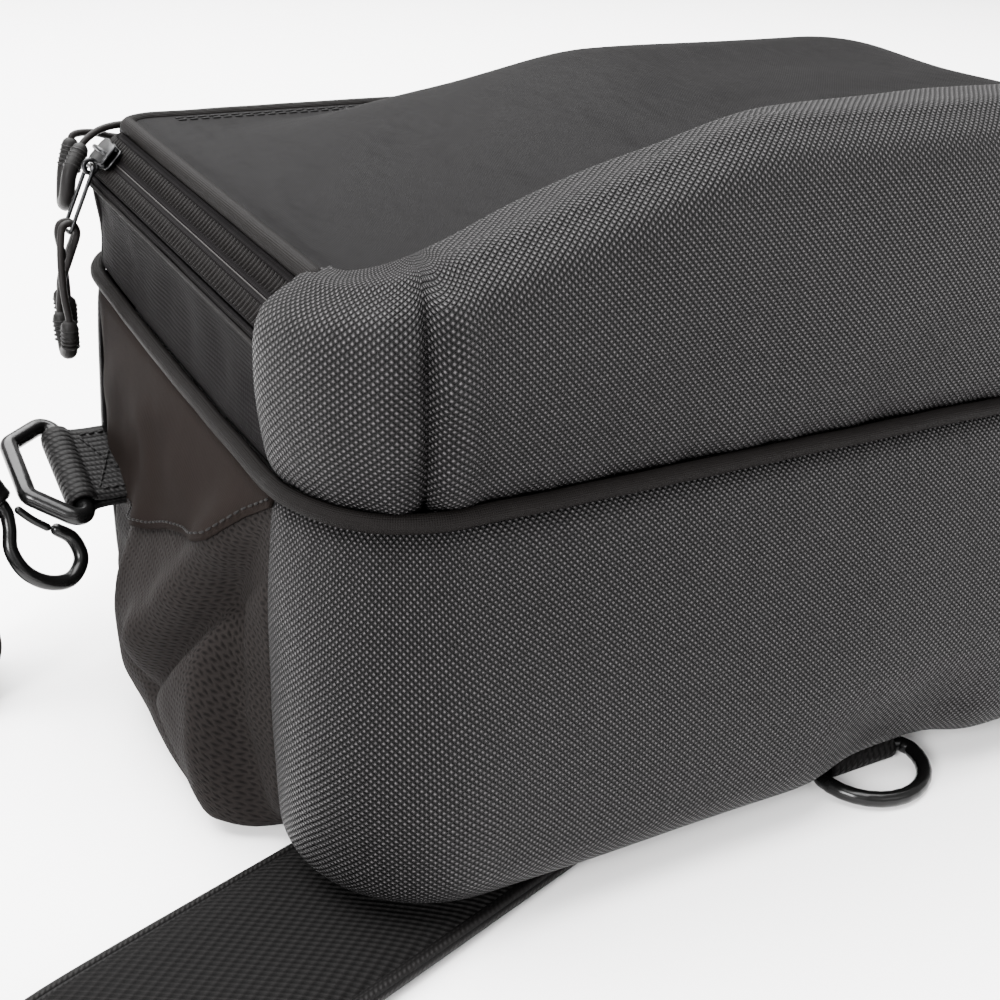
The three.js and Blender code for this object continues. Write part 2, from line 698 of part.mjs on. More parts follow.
function deeTab() {
  const inside = WIRE_R + 0.4;
  const outside = inside + 1.2;
  const around = (r, from, to) => Array.from({ length: 11 }, (_, i) => {
    const a = from + ((to - from) * i) / 10;
    return [r * Math.cos(a), DEE.z + r * Math.sin(a)];
  });
  const outline = [
    [22, 7.7],
    [9, 7.7],
    ...around(outside, 0.75, 2 * Math.PI - 0.75),
    [9, 3.9],
    [22, 4.6],
    [22, 5.8],
    [9, 5.1],
    ...around(inside, 2 * Math.PI - 0.3, 0.3),
    [9, 6.5],
    [22, 6.5],
  ];
  const width = 24;
  return loft([-width / 2, width / 2].map((x) => outline.map(([back, z]) => V(x, DEE.y + back, z))));
}
add('base_dee_tab', deeTab(), 'webbing');

// ---------------------------------------------------------------- zip sliders and their pulls
const SLIDER = { wide: 9, long: 13, thick: 3.2, lift: 2.6, wire: 0.7 };

// A slider's frame on the zip's slope: run along the zip, up the slope, out of the slope.
function zipFrame(s, along) {
  const out = V(s.nx, s.ny, 0);
  const up = out.clone().negate().add(V(0, 0, 1)).normalize();
  const normal = out.clone().add(V(0, 0, 1)).normalize();
  const middle = 4.65;
  const origin = off(s, -middle, zipZ(s) + middle).addScaledVector(normal, SLIDER.lift);
  return (e1, e2, e3) => origin
    .clone()
    .addScaledVector(along, e1)
    .addScaledVector(up, e2)
    .addScaledVector(normal, e3);
}

function sliderSolid(at, lugCentre, lugR, lugAcross) {
  const box = new RoundedBoxGeometry(SLIDER.long, SLIDER.wide, SLIDER.thick, 2, 1.2);
  const [o, x, y, z] = [at(0, 0, 0), at(1, 0, 0), at(0, 1, 0), at(0, 0, 1)];
  const basis = new THREE.Matrix4().makeBasis(x.sub(o), y.sub(o), z.sub(o)).setPosition(o);
  if (basis.determinant() < 0) {
    basis.scale(V(-1, 1, 1));
  }
  box.applyMatrix4(basis);
  const ring = Array.from({ length: 12 }, (_, k) => {
    const a = (2 * Math.PI * k) / 12;
    return at(...lugCentre).add(lugAcross(lugR * Math.cos(a), lugR * Math.sin(a)));
  });
  return join(box, bar(ring, SLIDER.wire, 6, true));
}

const sideStation = station(-half.x, 70, -1, 0);
const sideFrame = zipFrame(sideStation, V(0, 1, 0));
const sideLug = [0, -5.4, 1.2];
const sidePivot = sideFrame(...sideLug);
const relative = (frame) => (a, b) => (u, v) => frame(...a(u, v)).sub(frame(...b));
add('slider_side', sliderSolid(
  sideFrame,
  sideLug,
  1.9,
  relative(sideFrame)((u, v) => [0, u, v], [0, 0, 0]),
), 'metal');

const topStation = station(-138, half.y, 0, 1);
const topFrame = zipFrame(topStation, V(-1, 0, 0));
const topLug = [8.7, 0, 1];
const topPivot = topFrame(...topLug);
add('slider_top', sliderSolid(
  topFrame,
  topLug,
  2.6,
  relative(topFrame)((u, v) => [u, 0, v], [0, 0, 0]),
), 'metal');

// Wire pull ring: hangs from the side slider's lug, tipped outwards.
const RING_PULL = { half: 3.6, length: 20, tip: THREE.MathUtils.degToRad(25) };
const ringDown = V(-Math.sin(RING_PULL.tip), 0, -Math.cos(RING_PULL.tip));
const ringEnd = sidePivot.clone().addScaledVector(ringDown, RING_PULL.length);
function pullRing() {
  const corners = [[-1, 0], [1, 0], [1, 1], [-1, 1]].map(([y, down]) => {
    return sidePivot
      .clone()
      .add(V(0, y * RING_PULL.half, 0))
      .addScaledVector(ringDown, down * RING_PULL.length);
  });
  return bar(roundedPath(corners, 1.4, 3), SLIDER.wire, 6, true);
}
add('pull_ring_side', pullRing(), 'metal');

const CORD_R = 1.1;
const GRIP_R = 2.4;

// A thin cord looped over a bar, and the U-shaped moulded grip that both its ends enter.
function pull(name, origin, overBar, gripStops) {
  const place = ([x, y, z]) => V(x, y, z).add(origin);
  const grip = gripStops.map(place);
  const entry = (end, inside) => {
    const out = end.clone().sub(inside).normalize();
    return [0.5, 3].map((far) => end.clone().addScaledVector(out, far));
  };
  const cord = [
    ...entry(grip[0], grip[1]),
    ...overBar.map(place),
    ...entry(grip.at(-1), grip.at(-2)).reverse(),
  ];
  add(`pull_cord_${name}`, bar(curve(cord, 26), CORD_R, 8), 'webbing');
  add(`pull_grip_${name}`, bar(curve(grip, 12), GRIP_R, 8), 'rubber');
}

pull(
  'outer',
  ringEnd,
  [
    [-4.6, -8.4, -18], [-4.2, -6.4, -8], [-2.6, -3, -0.5], [-1.6, -2.1, 1.9],
    [0, -1.8, 2.5], [1.6, -1.5, 1.9], [2.5, -1, -0.5], [0.4, 0, -7], [-2.8, 1.6, -16],
  ],
  [[-4, -8, -26.8], [-4, -7.4, -31], [-4, -3, -35.4], [-4, 1.4, -31], [-4, 2, -26.8]],
);
pull(
  'inner',
  ringEnd,
  [
    [-0.6, 5.6, -16], [-1.2, 4.2, -8], [-2.4, 2, -0.5], [-1.6, 1.5, 1.9],
    [0, 1.4, 2.5], [1.6, 1.5, 1.9], [2.7, 2.4, -0.5], [1.5, 7.8, -8], [0, 13.4, -16],
  ],
  [[-0.5, 6.6, -23.8], [-0.5, 7.2, -28], [-0.5, 10.9, -32], [-0.4, 14.6, -28], [-0.4, 15.2, -23.8]],
);
pull(
  'top',
  topPivot,
  [
    [-11, -5.6, 2], [-5, -4.6, 3], [-1.3, -2.5, 2.3], [0, 0, 0],
    [-1.3, 2.4, -2.1], [-5.4, 3.9, -1.8], [-11.5, 2.4, 0],
  ],
  [
    [-18.2, -8.7, -3.2], [-22.6, -12, -9], [-24, -11, -17],
    [-23.4, -5.6, -18.5], [-21.6, -0.6, -11], [-18.8, 0.1, -3],
  ],
);

bag.position.y = -BACK_PAD.y;

export default bag;
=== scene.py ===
import json
import math

import bmesh
import bpy
import numpy as np
from mathutils import Matrix, Vector, noise


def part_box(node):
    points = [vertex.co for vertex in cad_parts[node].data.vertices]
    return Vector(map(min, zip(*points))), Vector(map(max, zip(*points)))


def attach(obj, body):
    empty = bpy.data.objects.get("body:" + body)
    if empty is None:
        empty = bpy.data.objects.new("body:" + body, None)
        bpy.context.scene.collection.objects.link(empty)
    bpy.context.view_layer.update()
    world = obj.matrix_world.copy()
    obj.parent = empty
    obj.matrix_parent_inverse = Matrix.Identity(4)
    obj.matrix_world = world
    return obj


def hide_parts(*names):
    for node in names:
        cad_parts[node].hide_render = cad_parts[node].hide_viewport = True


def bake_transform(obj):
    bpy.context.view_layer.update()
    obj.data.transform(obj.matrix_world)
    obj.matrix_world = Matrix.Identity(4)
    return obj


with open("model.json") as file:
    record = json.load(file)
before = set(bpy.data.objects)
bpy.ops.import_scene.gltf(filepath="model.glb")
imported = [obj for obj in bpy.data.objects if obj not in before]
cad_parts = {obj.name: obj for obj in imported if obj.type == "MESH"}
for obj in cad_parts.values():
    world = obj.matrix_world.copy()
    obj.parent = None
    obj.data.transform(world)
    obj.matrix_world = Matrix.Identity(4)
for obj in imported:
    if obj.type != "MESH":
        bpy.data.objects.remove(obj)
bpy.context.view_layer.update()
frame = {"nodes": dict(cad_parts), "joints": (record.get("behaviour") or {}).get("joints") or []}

# Lengths below are in millimetres in the bag's own coordinates: x along the base, y from the base
# (-100) to the top (100), z up from the floor. The row frame's origin is 60 mm towards the top.
ROW_SHIFT_Y = 60.0


def row(points):
    p = np.asarray(points, float).copy()
    p[..., 1] -= ROW_SHIFT_Y
    return p / 1000.0


# ---------------------------------------------------------------- camera
CAMERA_PLACE = (-0.2722, -0.4213, 0.2469)
camera_data = bpy.data.cameras.new("camera")
camera_data.lens = 52.68
camera_data.sensor_width = 36
camera = bpy.data.objects.new("camera", camera_data)
bpy.context.scene.collection.objects.link(camera)
view_forward = Vector((0.4504, 0.7933, -0.4096)).normalized()
view_right = view_forward.cross(Vector((0.1830, 0.3670, 0.9120))).normalized()
view_up = view_right.cross(view_forward)
turn = Matrix((view_right, view_up, -view_forward)).transposed()
camera.matrix_world = Matrix.Translation(CAMERA_PLACE) @ turn.to_4x4()
bpy.context.scene.camera = camera


# ---------------------------------------------------------------- materials
class Look:
    """A Principled material whose patterns are built from small node expressions."""

    def __init__(self, name, colour, rough, sheen=0.0, metal=0.0, specular=0.5):
        self.material = bpy.data.materials.new(name)
        self.material.use_nodes = True
        self.tree = self.material.node_tree
        self.shader = self.tree.nodes["Principled BSDF"]
        self.put("Base Color", (*colour, 1))
        self.put("Roughness", rough)
        self.put("Metallic", metal)
        self.put("Specular IOR Level", specular)
        self.put("Sheen Weight", sheen)
        self.put("Sheen Roughness", 0.5)
        self.colour = colour
        self.last_bump = None

    def put(self, socket, value):
        self.shader.inputs[socket].default_value = value

    def add(self, kind, **settings):
        node = self.tree.nodes.new(kind)
        for key, value in settings.items():
            setattr(node, key, value)
        return node

    def link(self, a, b):
        self.tree.links.new(a, b)

    def math(self, operation, a, b=None, c=None):
        node = self.add("ShaderNodeMath", operation=operation)
        for i, value in enumerate((a, b, c)):
            if value is None:
                continue
            if isinstance(value, (int, float)):
                node.inputs[i].default_value = value
            else:
                self.link(value, node.inputs[i])
        return node.outputs[0]

    def uv(self):
        """Distances along and across the fabric, in millimetres."""
        split = self.add("ShaderNodeSeparateXYZ")
        self.link(self.add("ShaderNodeUVMap", uv_map="cloth").outputs[0], split.inputs[0])
        return split.outputs[0], split.outputs[1]

    def place(self, scale=1000.0):
        """Position in the piece, scaled from metres."""
        coordinates = self.add("ShaderNodeTexCoord").outputs["Object"]
        scaled = self.add("ShaderNodeVectorMath", operation="SCALE")
        self.link(coordinates, scaled.inputs[0])
        scaled.inputs["Scale"].default_value = scale
        return scaled.outputs[0]

    def noise(self, size, detail=2.0, rough=0.5, stretch=None):
        """Soft noise from 0 to 1 with lumps of about size mm."""
        at = self.place()
        if stretch:
            mapping = self.add("ShaderNodeMapping")
            mapping.inputs["Scale"].default_value = stretch
            self.link(at, mapping.inputs["Vector"])
            at = mapping.outputs[0]
        node = self.add("ShaderNodeTexNoise")
        self.link(at, node.inputs["Vector"])
        node.inputs["Scale"].default_value = 1.0 / size
        node.inputs["Detail"].default_value = detail
        node.inputs["Roughness"].default_value = rough
        return node.outputs["Fac"]

    def wave(self, coordinate, pitch, phase=0.0):
        """A sine from -1 to 1 with one period per pitch mm."""
        return self.math("SINE", self.math("MULTIPLY_ADD", coordinate, 2 * math.pi / pitch, phase))

    def lift(self, value):
        """A value from -1 to 1 brought to 0 to 1."""
        return self.math("MULTIPLY_ADD", value, 0.5, 0.5)

    def bump(self, height, depth_mm):
        node = self.add("ShaderNodeBump")
        node.inputs["Distance"].default_value = depth_mm / 1000.0
        node.inputs["Strength"].default_value = 1.0
        self.link(height, node.inputs["Height"])
        if self.last_bump:
            self.link(self.last_bump, node.inputs["Normal"])
        self.last_bump = node.outputs[0]
        self.link(self.last_bump, self.shader.inputs["Normal"])

    def tint(self, factor, low, high):
        """Colour runs from low to high times the base colour as factor goes from 0 to 1."""
        ramp = self.add("ShaderNodeMix", data_type="RGBA")
        self.link(factor, ramp.inputs[0])
        ramp.inputs[6].default_value = (*[c * low for c in self.colour], 1)
        ramp.inputs[7].default_value = (*[c * high for c in self.colour], 1)
        self.link(ramp.outputs[2], self.shader.inputs["Base Color"])

    def roughness(self, factor, low, high):
        node = self.add("ShaderNodeMapRange")
        self.link(factor, node.inputs["Value"])
        node.inputs["To Min"].default_value = low
        node.inputs["To Max"].default_value = high
        self.link(node.outputs[0], self.shader.inputs["Roughness"])


def emboss_look():
    look = Look("embossed_fabric", (0.0028, 0.0026, 0.0027), 0.40, specular=0.085)
    u, v = look.uv()
    pitch = 1.22 * math.sqrt(2)
    a = look.math("ABSOLUTE", look.wave(look.math("ADD", u, v), 2 * pitch))
    b = look.math("ABSOLUTE", look.wave(look.math("SUBTRACT", u, v), 2 * pitch))
    bumps = look.math("MULTIPLY", a, b)
    dots = look.math("POWER", bumps, 0.8)
    tops = look.math("POWER", bumps, 3.0)
    # Painted glints: the dot tops, varied by noise, stand in for the light caught on each raised dot.
    wear_and_painted_glints = look.math("MULTIPLY", tops, look.math("MULTIPLY_ADD", look.noise(1.3, 2.0), 1.6, 0.1))
    look.bump(look.noise(34.0, 2.0), 2.6)
    look.bump(dots, 0.85)
    # Colour runs from 0.3 times the base between the dots to 15 times on the dot tops, as painted glints.
    look.tint(wear_and_painted_glints, 0.3, 15.0)
    look.roughness(tops, 0.6, 0.2)
    return look.material


def nylon_look():
    look = Look("smooth_nylon", (0.0022, 0.0020, 0.0021), 0.52, specular=0.014)
    u, v = look.uv()
    grid = look.math("MULTIPLY", look.wave(u, 0.9), look.wave(v, 0.9))
    look.bump(look.noise(22.0, 3.0, 0.55, (1.0, 0.45, 1.0)), 3.4)
    look.bump(grid, 0.03)
    look.tint(look.noise(60.0, 2.0), 0.9, 1.12)
    return look.material


def woven_look():
    look = Look("woven_nylon", (0.0022, 0.0019, 0.0020), 0.75, specular=0.02)
    u, v = look.uv()
    ribs = look.lift(look.wave(v, 1.25))
    threads = look.lift(look.wave(u, 1.0))
    weave = look.math("MULTIPLY", ribs, look.lift(threads))
    look.bump(look.noise(18.0, 3.0), 1.2)
    look.bump(weave, 0.22)
    look.tint(look.math("MULTIPLY", weave, look.noise(2.2, 2.0)), 0.7, 2.4)
    return look.material


def stretch_look():
    look = Look("stretch_fabric", (0.0052, 0.0038, 0.0033), 0.85, specular=0.02)
    u, v = look.uv()
    knit = look.math("MULTIPLY", look.wave(look.math("ADD", u, v), 1.0), look.wave(v, 0.8))
    look.bump(look.noise(24.0, 2.0), 1.4)
    look.bump(knit, 0.06)
    look.tint(look.noise(1.2, 2.0), 0.78, 1.2)
    return look.material


def knit_look():
    look = Look("pocket_knit", (0.0058, 0.0049, 0.0046), 0.88, specular=0.04)
    u, v = look.uv()
    rows = look.lift(look.wave(v, 1.7))
    shifted = look.math("ADD", u, look.math("MULTIPLY", look.wave(v, 3.4), 0.55))
    eyes = look.math("MULTIPLY", rows, look.lift(look.wave(shifted, 2.2)))
    look.bump(look.noise(22.0, 3.0), 1.6)
    look.bump(eyes, 0.3)
    look.tint(eyes, 1.25, 0.35)
    return look.material


def piping_look():
    look = Look("piping_fabric", (0.0026, 0.0022, 0.0021), 0.6, specular=0.035)
    u, v = look.uv()
    rising = look.wave(look.math("ADD", u, v), 1.1)
    falling = look.wave(look.math("SUBTRACT", u, v), 1.1)
    weave = look.math("MULTIPLY", rising, falling)
    look.bump(look.noise(9.0, 2.0), 0.5)
    look.bump(weave, 0.07)
    look.tint(look.noise(3.0, 3.0), 0.75, 1.3)
    return look.material


def mesh_look():
    look = Look("air_mesh", (0.0026, 0.0024, 0.0024), 0.8, specular=0.06)
    u, v = look.uv()
    holes = look.math("MULTIPLY", look.wave(u, 3.1), look.wave(look.math("MULTIPLY_ADD", u, 0.5, v), 2.7))
    dots = look.lift(holes)
    look.bump(dots, 0.7)
    look.tint(dots, 0.3, 1.7)
    return look.material


def webbing_look():
    look = Look("webbing", (0.0024, 0.0022, 0.0022), 0.6, specular=0.07)
    u, v = look.uv()
    ribs = look.math("ABSOLUTE", look.wave(v, 4.4))
    threads = look.lift(look.wave(look.math("MULTIPLY_ADD", v, 0.5, u), 1.5))
    height = look.math("MULTIPLY", ribs, look.math("MULTIPLY_ADD", threads, 0.4, 0.6))
    look.bump(height, 0.4)
    look.tint(height, 0.4, 2.0)
    return look.material


def plain_look(name, colour, rough, bumps, mottle, **shader):
    """Bumps are (noise, depth in mm). Mottle is (noise, darkest, lightest)."""
    look = Look(name, colour, rough, **shader)
    for lumps, depth in bumps:
        look.bump(look.noise(*lumps), depth)
    lumps, low, high = mottle
    look.tint(look.noise(*lumps), low, high)
    return look.material


def plastic_look():
    look = Look("gloss_hardware", (0.0016, 0.0016, 0.0016), 0.22, specular=0.2)
    smudge = look.noise(7.0, 3.0)
    look.bump(look.noise(2.5, 2.0), 0.05)
    look.roughness(smudge, 0.14, 0.34)
    return look.material


def metal_look():
    look = Look("zip_metal", (0.012, 0.012, 0.0125), 0.3, metal=1.0)
    wear_and_painted_glints = look.noise(3.0, 3.0)
    look.tint(wear_and_painted_glints, 0.45, 2.4)
    look.roughness(wear_and_painted_glints, 0.22, 0.4)
    look.bump(look.noise(1.0, 2.0), 0.05)
    return look.material


FOAM_BUMPS = (((1.1, 4.0, 0.7), 0.5), ((30.0, 2.0), 1.5))
THREAD = (0.6, (((0.5, 2.0), 0.06),), ((1.5, 2.0), 0.8, 1.25))
MAT = {
    "emboss": emboss_look(), "nylon": nylon_look(), "woven": woven_look(), "stretch": stretch_look(),
    "knit": knit_look(), "piping": piping_look(), "mesh": mesh_look(), "webbing": webbing_look(),
    "plastic": plastic_look(), "metal": metal_look(),
    "lining": plain_look("lining", (0.06, 0.057, 0.055), 0.95, FOAM_BUMPS, ((2.0, 4.0, 0.7), 0.75, 1.25),
                         sheen=0.1),
    "grip": plain_look("moulded_grip", (0.0035, 0.0032, 0.0031), 0.5, (((0.8, 2.0), 0.05),),
                       ((3.0, 2.0), 0.85, 1.2), specular=0.08),
    "cord": plain_look("cord_sheath", (0.0035, 0.0029, 0.0028), 0.5, (((0.6, 2.0), 0.12),),
                       ((2.0, 2.0), 0.8, 1.3), specular=0.08),
    "thread": plain_look("thread_dark", (0.003, 0.0028, 0.0028), *THREAD, specular=0.08),
    "bright_thread": plain_look("thread_light", (0.012, 0.011, 0.0105), *THREAD, specular=0.08),
    "floor": plain_look("floor_paint", (0.93, 0.92, 0.92), 0.6, (), ((300.0, 2.0), 0.985, 1.0), specular=0.2),
}


# ---------------------------------------------------------------- geometry helpers
def smooth(t):
    t = np.clip(t, 0.0, 1.0)
    return t * t * (3 - 2 * t)


def unit(v):
    v = np.asarray(v, float)
    return v / np.maximum(np.linalg.norm(v, axis=-1, keepdims=True), 1e-12)


def make(name, vertices, faces, look, body, uvs=None, stands_for=(), soften=True):
    """A mesh piece from bag coordinates, riding on its body. uvs hold one pair per face corner."""
    mesh = bpy.data.meshes.new(name)
    mesh.from_pydata(row(vertices).tolist(), [], [list(f) for f in faces])
    layer = mesh.uv_layers.new(name="cloth")
    if uvs is not None:
        layer.data.foreach_set("uv", np.asarray(uvs, np.float32).ravel())
    if soften:
        mesh.shade_smooth()
    mesh.materials.append(MAT[look])
    mesh.validate()
    piece = bpy.data.objects.new(name, mesh)
    bpy.context.scene.collection.objects.link(piece)
    if body:
        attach(piece, body)
    if stands_for:
        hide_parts(*stands_for)
    return piece


def grid_faces(rows, columns, wrap_rows=False, wrap_columns=False):
    faces = []
    for i in range(rows if wrap_rows else rows - 1):
        k = (i + 1) % rows
        for j in range(columns if wrap_columns else columns - 1):
            m = (j + 1) % columns
            faces.append((i * columns + j, k * columns + j, k * columns + m, i * columns + m))
    return faces


def end_caps(rings, columns):
    """The two faces that close a run of rings."""
    return [tuple(reversed(range(columns))), tuple((rings - 1) * columns + k for k in range(columns))]


def bar_faces(base, rings):
    """Faces of a capped six-sided bar whose rings of vertices start at base."""
    faces = []
    for start in range(base, base + 6 * (rings - 1), 6):
        for q in range(6):
            n = (q + 1) % 6
            faces.append((start + q, start + n, start + 6 + n, start + 6 + q))
    first, last = end_caps(rings, 6)
    return faces + [tuple(base + q for q in first), tuple(base + q for q in last)]


def six_round(centre, radius, side, up):
    """Six points round a centre, in the plane of side and up."""
    angles = [q * math.pi / 3 for q in range(6)]
    return [centre + radius * (math.cos(a) * side + math.sin(a) * up) for a in angles]


def grid_uvs(grid, wrap_rows=False, wrap_columns=False):
    """Face-corner distances along the rows and the columns of a grid, in mm."""
    if wrap_rows:
        grid = np.concatenate([grid, grid[:1]], 0)
    if wrap_columns:
        grid = np.concatenate([grid, grid[:, :1]], 1)
    du = np.linalg.norm(np.diff(grid, axis=0), axis=2).mean(1)
    u = np.concatenate([[0], np.cumsum(du)])
    dv = np.linalg.norm(np.diff(grid, axis=1), axis=2)
    v = np.concatenate([np.zeros((grid.shape[0], 1)), np.cumsum(dv, 1)], 1)
    corners = []
    for i in range(grid.shape[0] - 1):
        for j in range(grid.shape[1] - 1):
            for a, b in ((i, j), (i + 1, j), (i + 1, j + 1), (i, j + 1)):
                corners.append((u[a], v[a, b]))
    return corners


BAG_MIDDLE = np.array([0.0, 0.0, 80.0])


def skin(name, grid, look, body, thick=0.0, stands_for=(), out_from=BAG_MIDDLE):
    """A fabric surface through a grid of points. With thick it is a closed sheet that deep."""
    grid = np.asarray(grid, float)
    du = np.gradient(grid, axis=0)
    dv = np.gradient(grid, axis=1)
    normal = unit(np.cross(du, dv))
    if ((grid - out_from) * normal).sum() < 0:
        grid = grid[::-1]
        normal = -normal[::-1]
    rows, columns = grid.shape[:2]
    faces = grid_faces(rows, columns)
    uvs = grid_uvs(grid)
    if not thick:
        return make(name, grid.reshape(-1, 3), faces, look, body, uvs, stands_for)
    inner = grid - normal * thick
    count = rows * columns
    vertices = np.concatenate([grid.reshape(-1, 3), inner.reshape(-1, 3)])
    back = [tuple(count + k for k in reversed(f)) for f in faces]
    back_uvs = [c for q in range(0, len(uvs), 4) for c in reversed(uvs[q:q + 4])]
    edge = list(range(columns))
    edge += [i * columns + columns - 1 for i in range(1, rows)]
    edge += [(rows - 1) * columns + j for j in range(columns - 2, -1, -1)]
    edge += [i * columns for i in range(rows - 2, 0, -1)]
    rim = []
    for k, a in enumerate(edge):
        b = edge[(k + 1) % len(edge)]
        rim.append((a, b, count + b, count + a))
    rim_uvs = [(0.0, 0.0), (1.0, 0.0), (1.0, 1.0), (0.0, 1.0)] * len(rim)
    return make(name, vertices, faces + back + rim, look, body, uvs + back_uvs + rim_uvs, stands_for)


def mixed(points, knots, reach, t):
    """Each pair of neighbours mixed at t, between knots that lie reach places apart."""
    out = []
    for k in range(len(points) - 1):
        low, high = knots[k], knots[k + reach]
        out.append(((high - t) * points[k] + (t - low) * points[k + 1]) / (high - low))
    return out


def spline(stops, count):
    """Evenly spaced points along a centripetal Catmull-Rom curve through the stops."""
    p = np.asarray(stops, float)
    p = np.concatenate([[2 * p[0] - p[1]], p, [2 * p[-1] - p[-2]]])
    fine = []
    for i in range(1, len(p) - 2):
        q = p[i - 1:i + 3]
        gaps = np.linalg.norm(np.diff(q[:, :3], axis=0), axis=1)
        knots = np.concatenate([[0], np.cumsum(np.sqrt(np.maximum(gaps, 1e-6)))])
        for t in np.linspace(knots[1], knots[2], 24, endpoint=False):
            b = mixed(mixed(q, knots, 1, t), knots, 2, t)
            fine.append(mixed(b, knots[1:], 1, t)[0])
    fine.append(p[-2])
    return even(np.array(fine), count)


def even(points, count):
    """A polyline resampled to count evenly spaced points."""
    steps = np.linalg.norm(np.diff(points[:, :3], axis=0), axis=1)
    along = np.concatenate([[0], np.cumsum(steps)])
    want = np.linspace(0, along[-1], count)
    return np.stack([np.interp(want, along, points[:, k]) for k in range(points.shape[1])], 1)


def tube_grid(path, radius, sides=12, closed=False):
    """Rings of points round a path. radius may change along it."""
    path = np.asarray(path, float)
    count = len(path)
    radii = np.broadcast_to(radius, (count,))
    if closed:
        tangent = unit(np.roll(path, -1, 0) - np.roll(path, 1, 0))
    else:
        tangent = unit(np.gradient(path, axis=0))
    across = np.array([0.0, 0.0, 1.0]) if abs(tangent[0][2]) < 0.9 else np.array([1.0, 0.0, 0.0])
    rings = []
    for i in range(count):
        across = unit(across - tangent[i] * across.dot(tangent[i]))
        side = np.cross(tangent[i], across)
        angles = np.arange(sides) * 2 * math.pi / sides
        ring = path[i] + radii[i] * (np.cos(angles)[:, None] * across + np.sin(angles)[:, None] * side)
        rings.append(ring)
    return np.array(rings)


def tube(name, path, radius, look, body, sides=12, closed=False, stands_for=(), round_ends=True):
    path = np.asarray(path, float)
    if not closed and round_ends:
        radii = np.array(np.broadcast_to(radius, (len(path),)), float)
        first, last = unit(path[0] - path[1]), unit(path[-1] - path[-2])
        r0, r1 = radii[0], radii[-1]
        steps = (0.98, 0.8, 0.45)
        head = [path[0] + first * r0 * k for k in steps]
        tail = [path[-1] + last * r1 * k for k in reversed(steps)]
        widths = [math.sqrt(1 - k * k) for k in steps]
        path = np.array([*head, *path, *tail])
        radii = np.concatenate([[r0 * w for w in widths], radii, [r1 * w for w in reversed(widths)]])
        radius = radii
    rings = tube_grid(path, radius, sides, closed)
    faces = grid_faces(len(rings), sides, closed, True)
    uvs = grid_uvs(rings, closed, True)
    if not closed:
        faces += end_caps(len(rings), sides)
        uvs += [(0.0, 0.0)] * (2 * sides)
    faces = [tuple(reversed(f)) for f in faces]
    uvs = uvs_reversed(uvs, faces)
    return make(name, rings.reshape(-1, 3), faces, look, body, uvs, stands_for)


def uvs_reversed(uvs, faces):
    out = []
    start = 0
    for f in faces:
        out += list(reversed(uvs[start:start + len(f)]))
        start += len(f)
    return out


def ribbon_grid(stops, width, thick, steps, edge=0.35):
    """Rings of a flat band with rounded edges. Each stop is a place and the direction of the width."""
    joined = np.array([[*p, *unit(w)] for p, w in stops])
    line = spline(joined, steps)
    path, turn_to = line[:, :3], line[:, 3:]
    along = unit(np.gradient(path, axis=0))
    wide = unit(turn_to - along * (turn_to * along).sum(1, keepdims=True))
    normal = np.cross(along, wide)
    half_w, half_t = width / 2, thick / 2
    lanes = 14
    upper = []
    for k in range(lanes + 1):
        upper.append((-half_w + 2 * half_w * k / lanes, half_t * (1 if 0 < k < lanes else 1 - edge)))
    section = upper + [(a, -b) for a, b in reversed(upper)]
    rings = [[path[i] + wide[i] * a + normal[i] * b for a, b in section] for i in range(len(path))]
    return np.array(rings)


def ribbon(name, stops, width, thick, look, body, steps=80, stands_for=()):
    rings = ribbon_grid(stops, width, thick, steps)
    columns = rings.shape[1]
    faces = grid_faces(len(rings), columns, False, True)
    uvs = grid_uvs(rings, False, True)
    faces += end_caps(len(rings), columns)
    uvs += [(0.0, 0.0)] * (2 * columns)
    faces = [tuple(reversed(f)) for f in faces]
    piece = make(name, rings.reshape(-1, 3), faces, look, body, uvs_reversed(uvs, faces), stands_for)
    fix_normals(piece)
    return piece


def fix_normals(piece):
    """Faces of a closed piece are turned to point outwards."""
    shape = bmesh.new()
    shape.from_mesh(piece.data)
    bmesh.ops.recalc_face_normals(shape, faces=shape.faces)
    shape.to_mesh(piece.data)
    shape.free()


def stitches(name, path, look, body, length=2.3, gap=1.0, radius=0.3):
    """A row of separate threads lying along a path."""
    path = np.asarray(path, float)
    total = np.linalg.norm(np.diff(path, axis=0), axis=1).sum()
    count = max(2, int(total / (length + gap)))
    line = even(path, count * 8 + 1)
    vertices, faces = [], []
    for k in range(count):
        a, b = line[k * 8], line[k * 8 + 6]
        along = unit(b - a)
        up = np.array([0.0, 0.0, 1.0]) if abs(along[2]) < 0.9 else np.array([1.0, 0.0, 0.0])
        side = unit(np.cross(along, up))
        up = np.cross(side, along)
        base = len(vertices)
        for t, r in ((0.0, 0.25), (0.2, 0.95), (0.5, 1.1), (0.8, 0.95), (1.0, 0.25)):
            vertices += six_round(a + (b - a) * t, radius * r, side, up)
        faces += bar_faces(base, 5)
    return make(name, vertices, faces, look, body)


# ---------------------------------------------------------------- joints' places, in mm
def pivot(joint):
    found = next(j for j in frame["joints"] if j["name"] == joint)
    p = np.array(found["pos_m"]) * 1000
    p[1] += ROW_SHIFT_Y
    return p


side_pivot = pivot("pull_ring_swing")
ring_end = pivot("outer_pull_swing")
top_pivot = pivot("top_pull_lift")

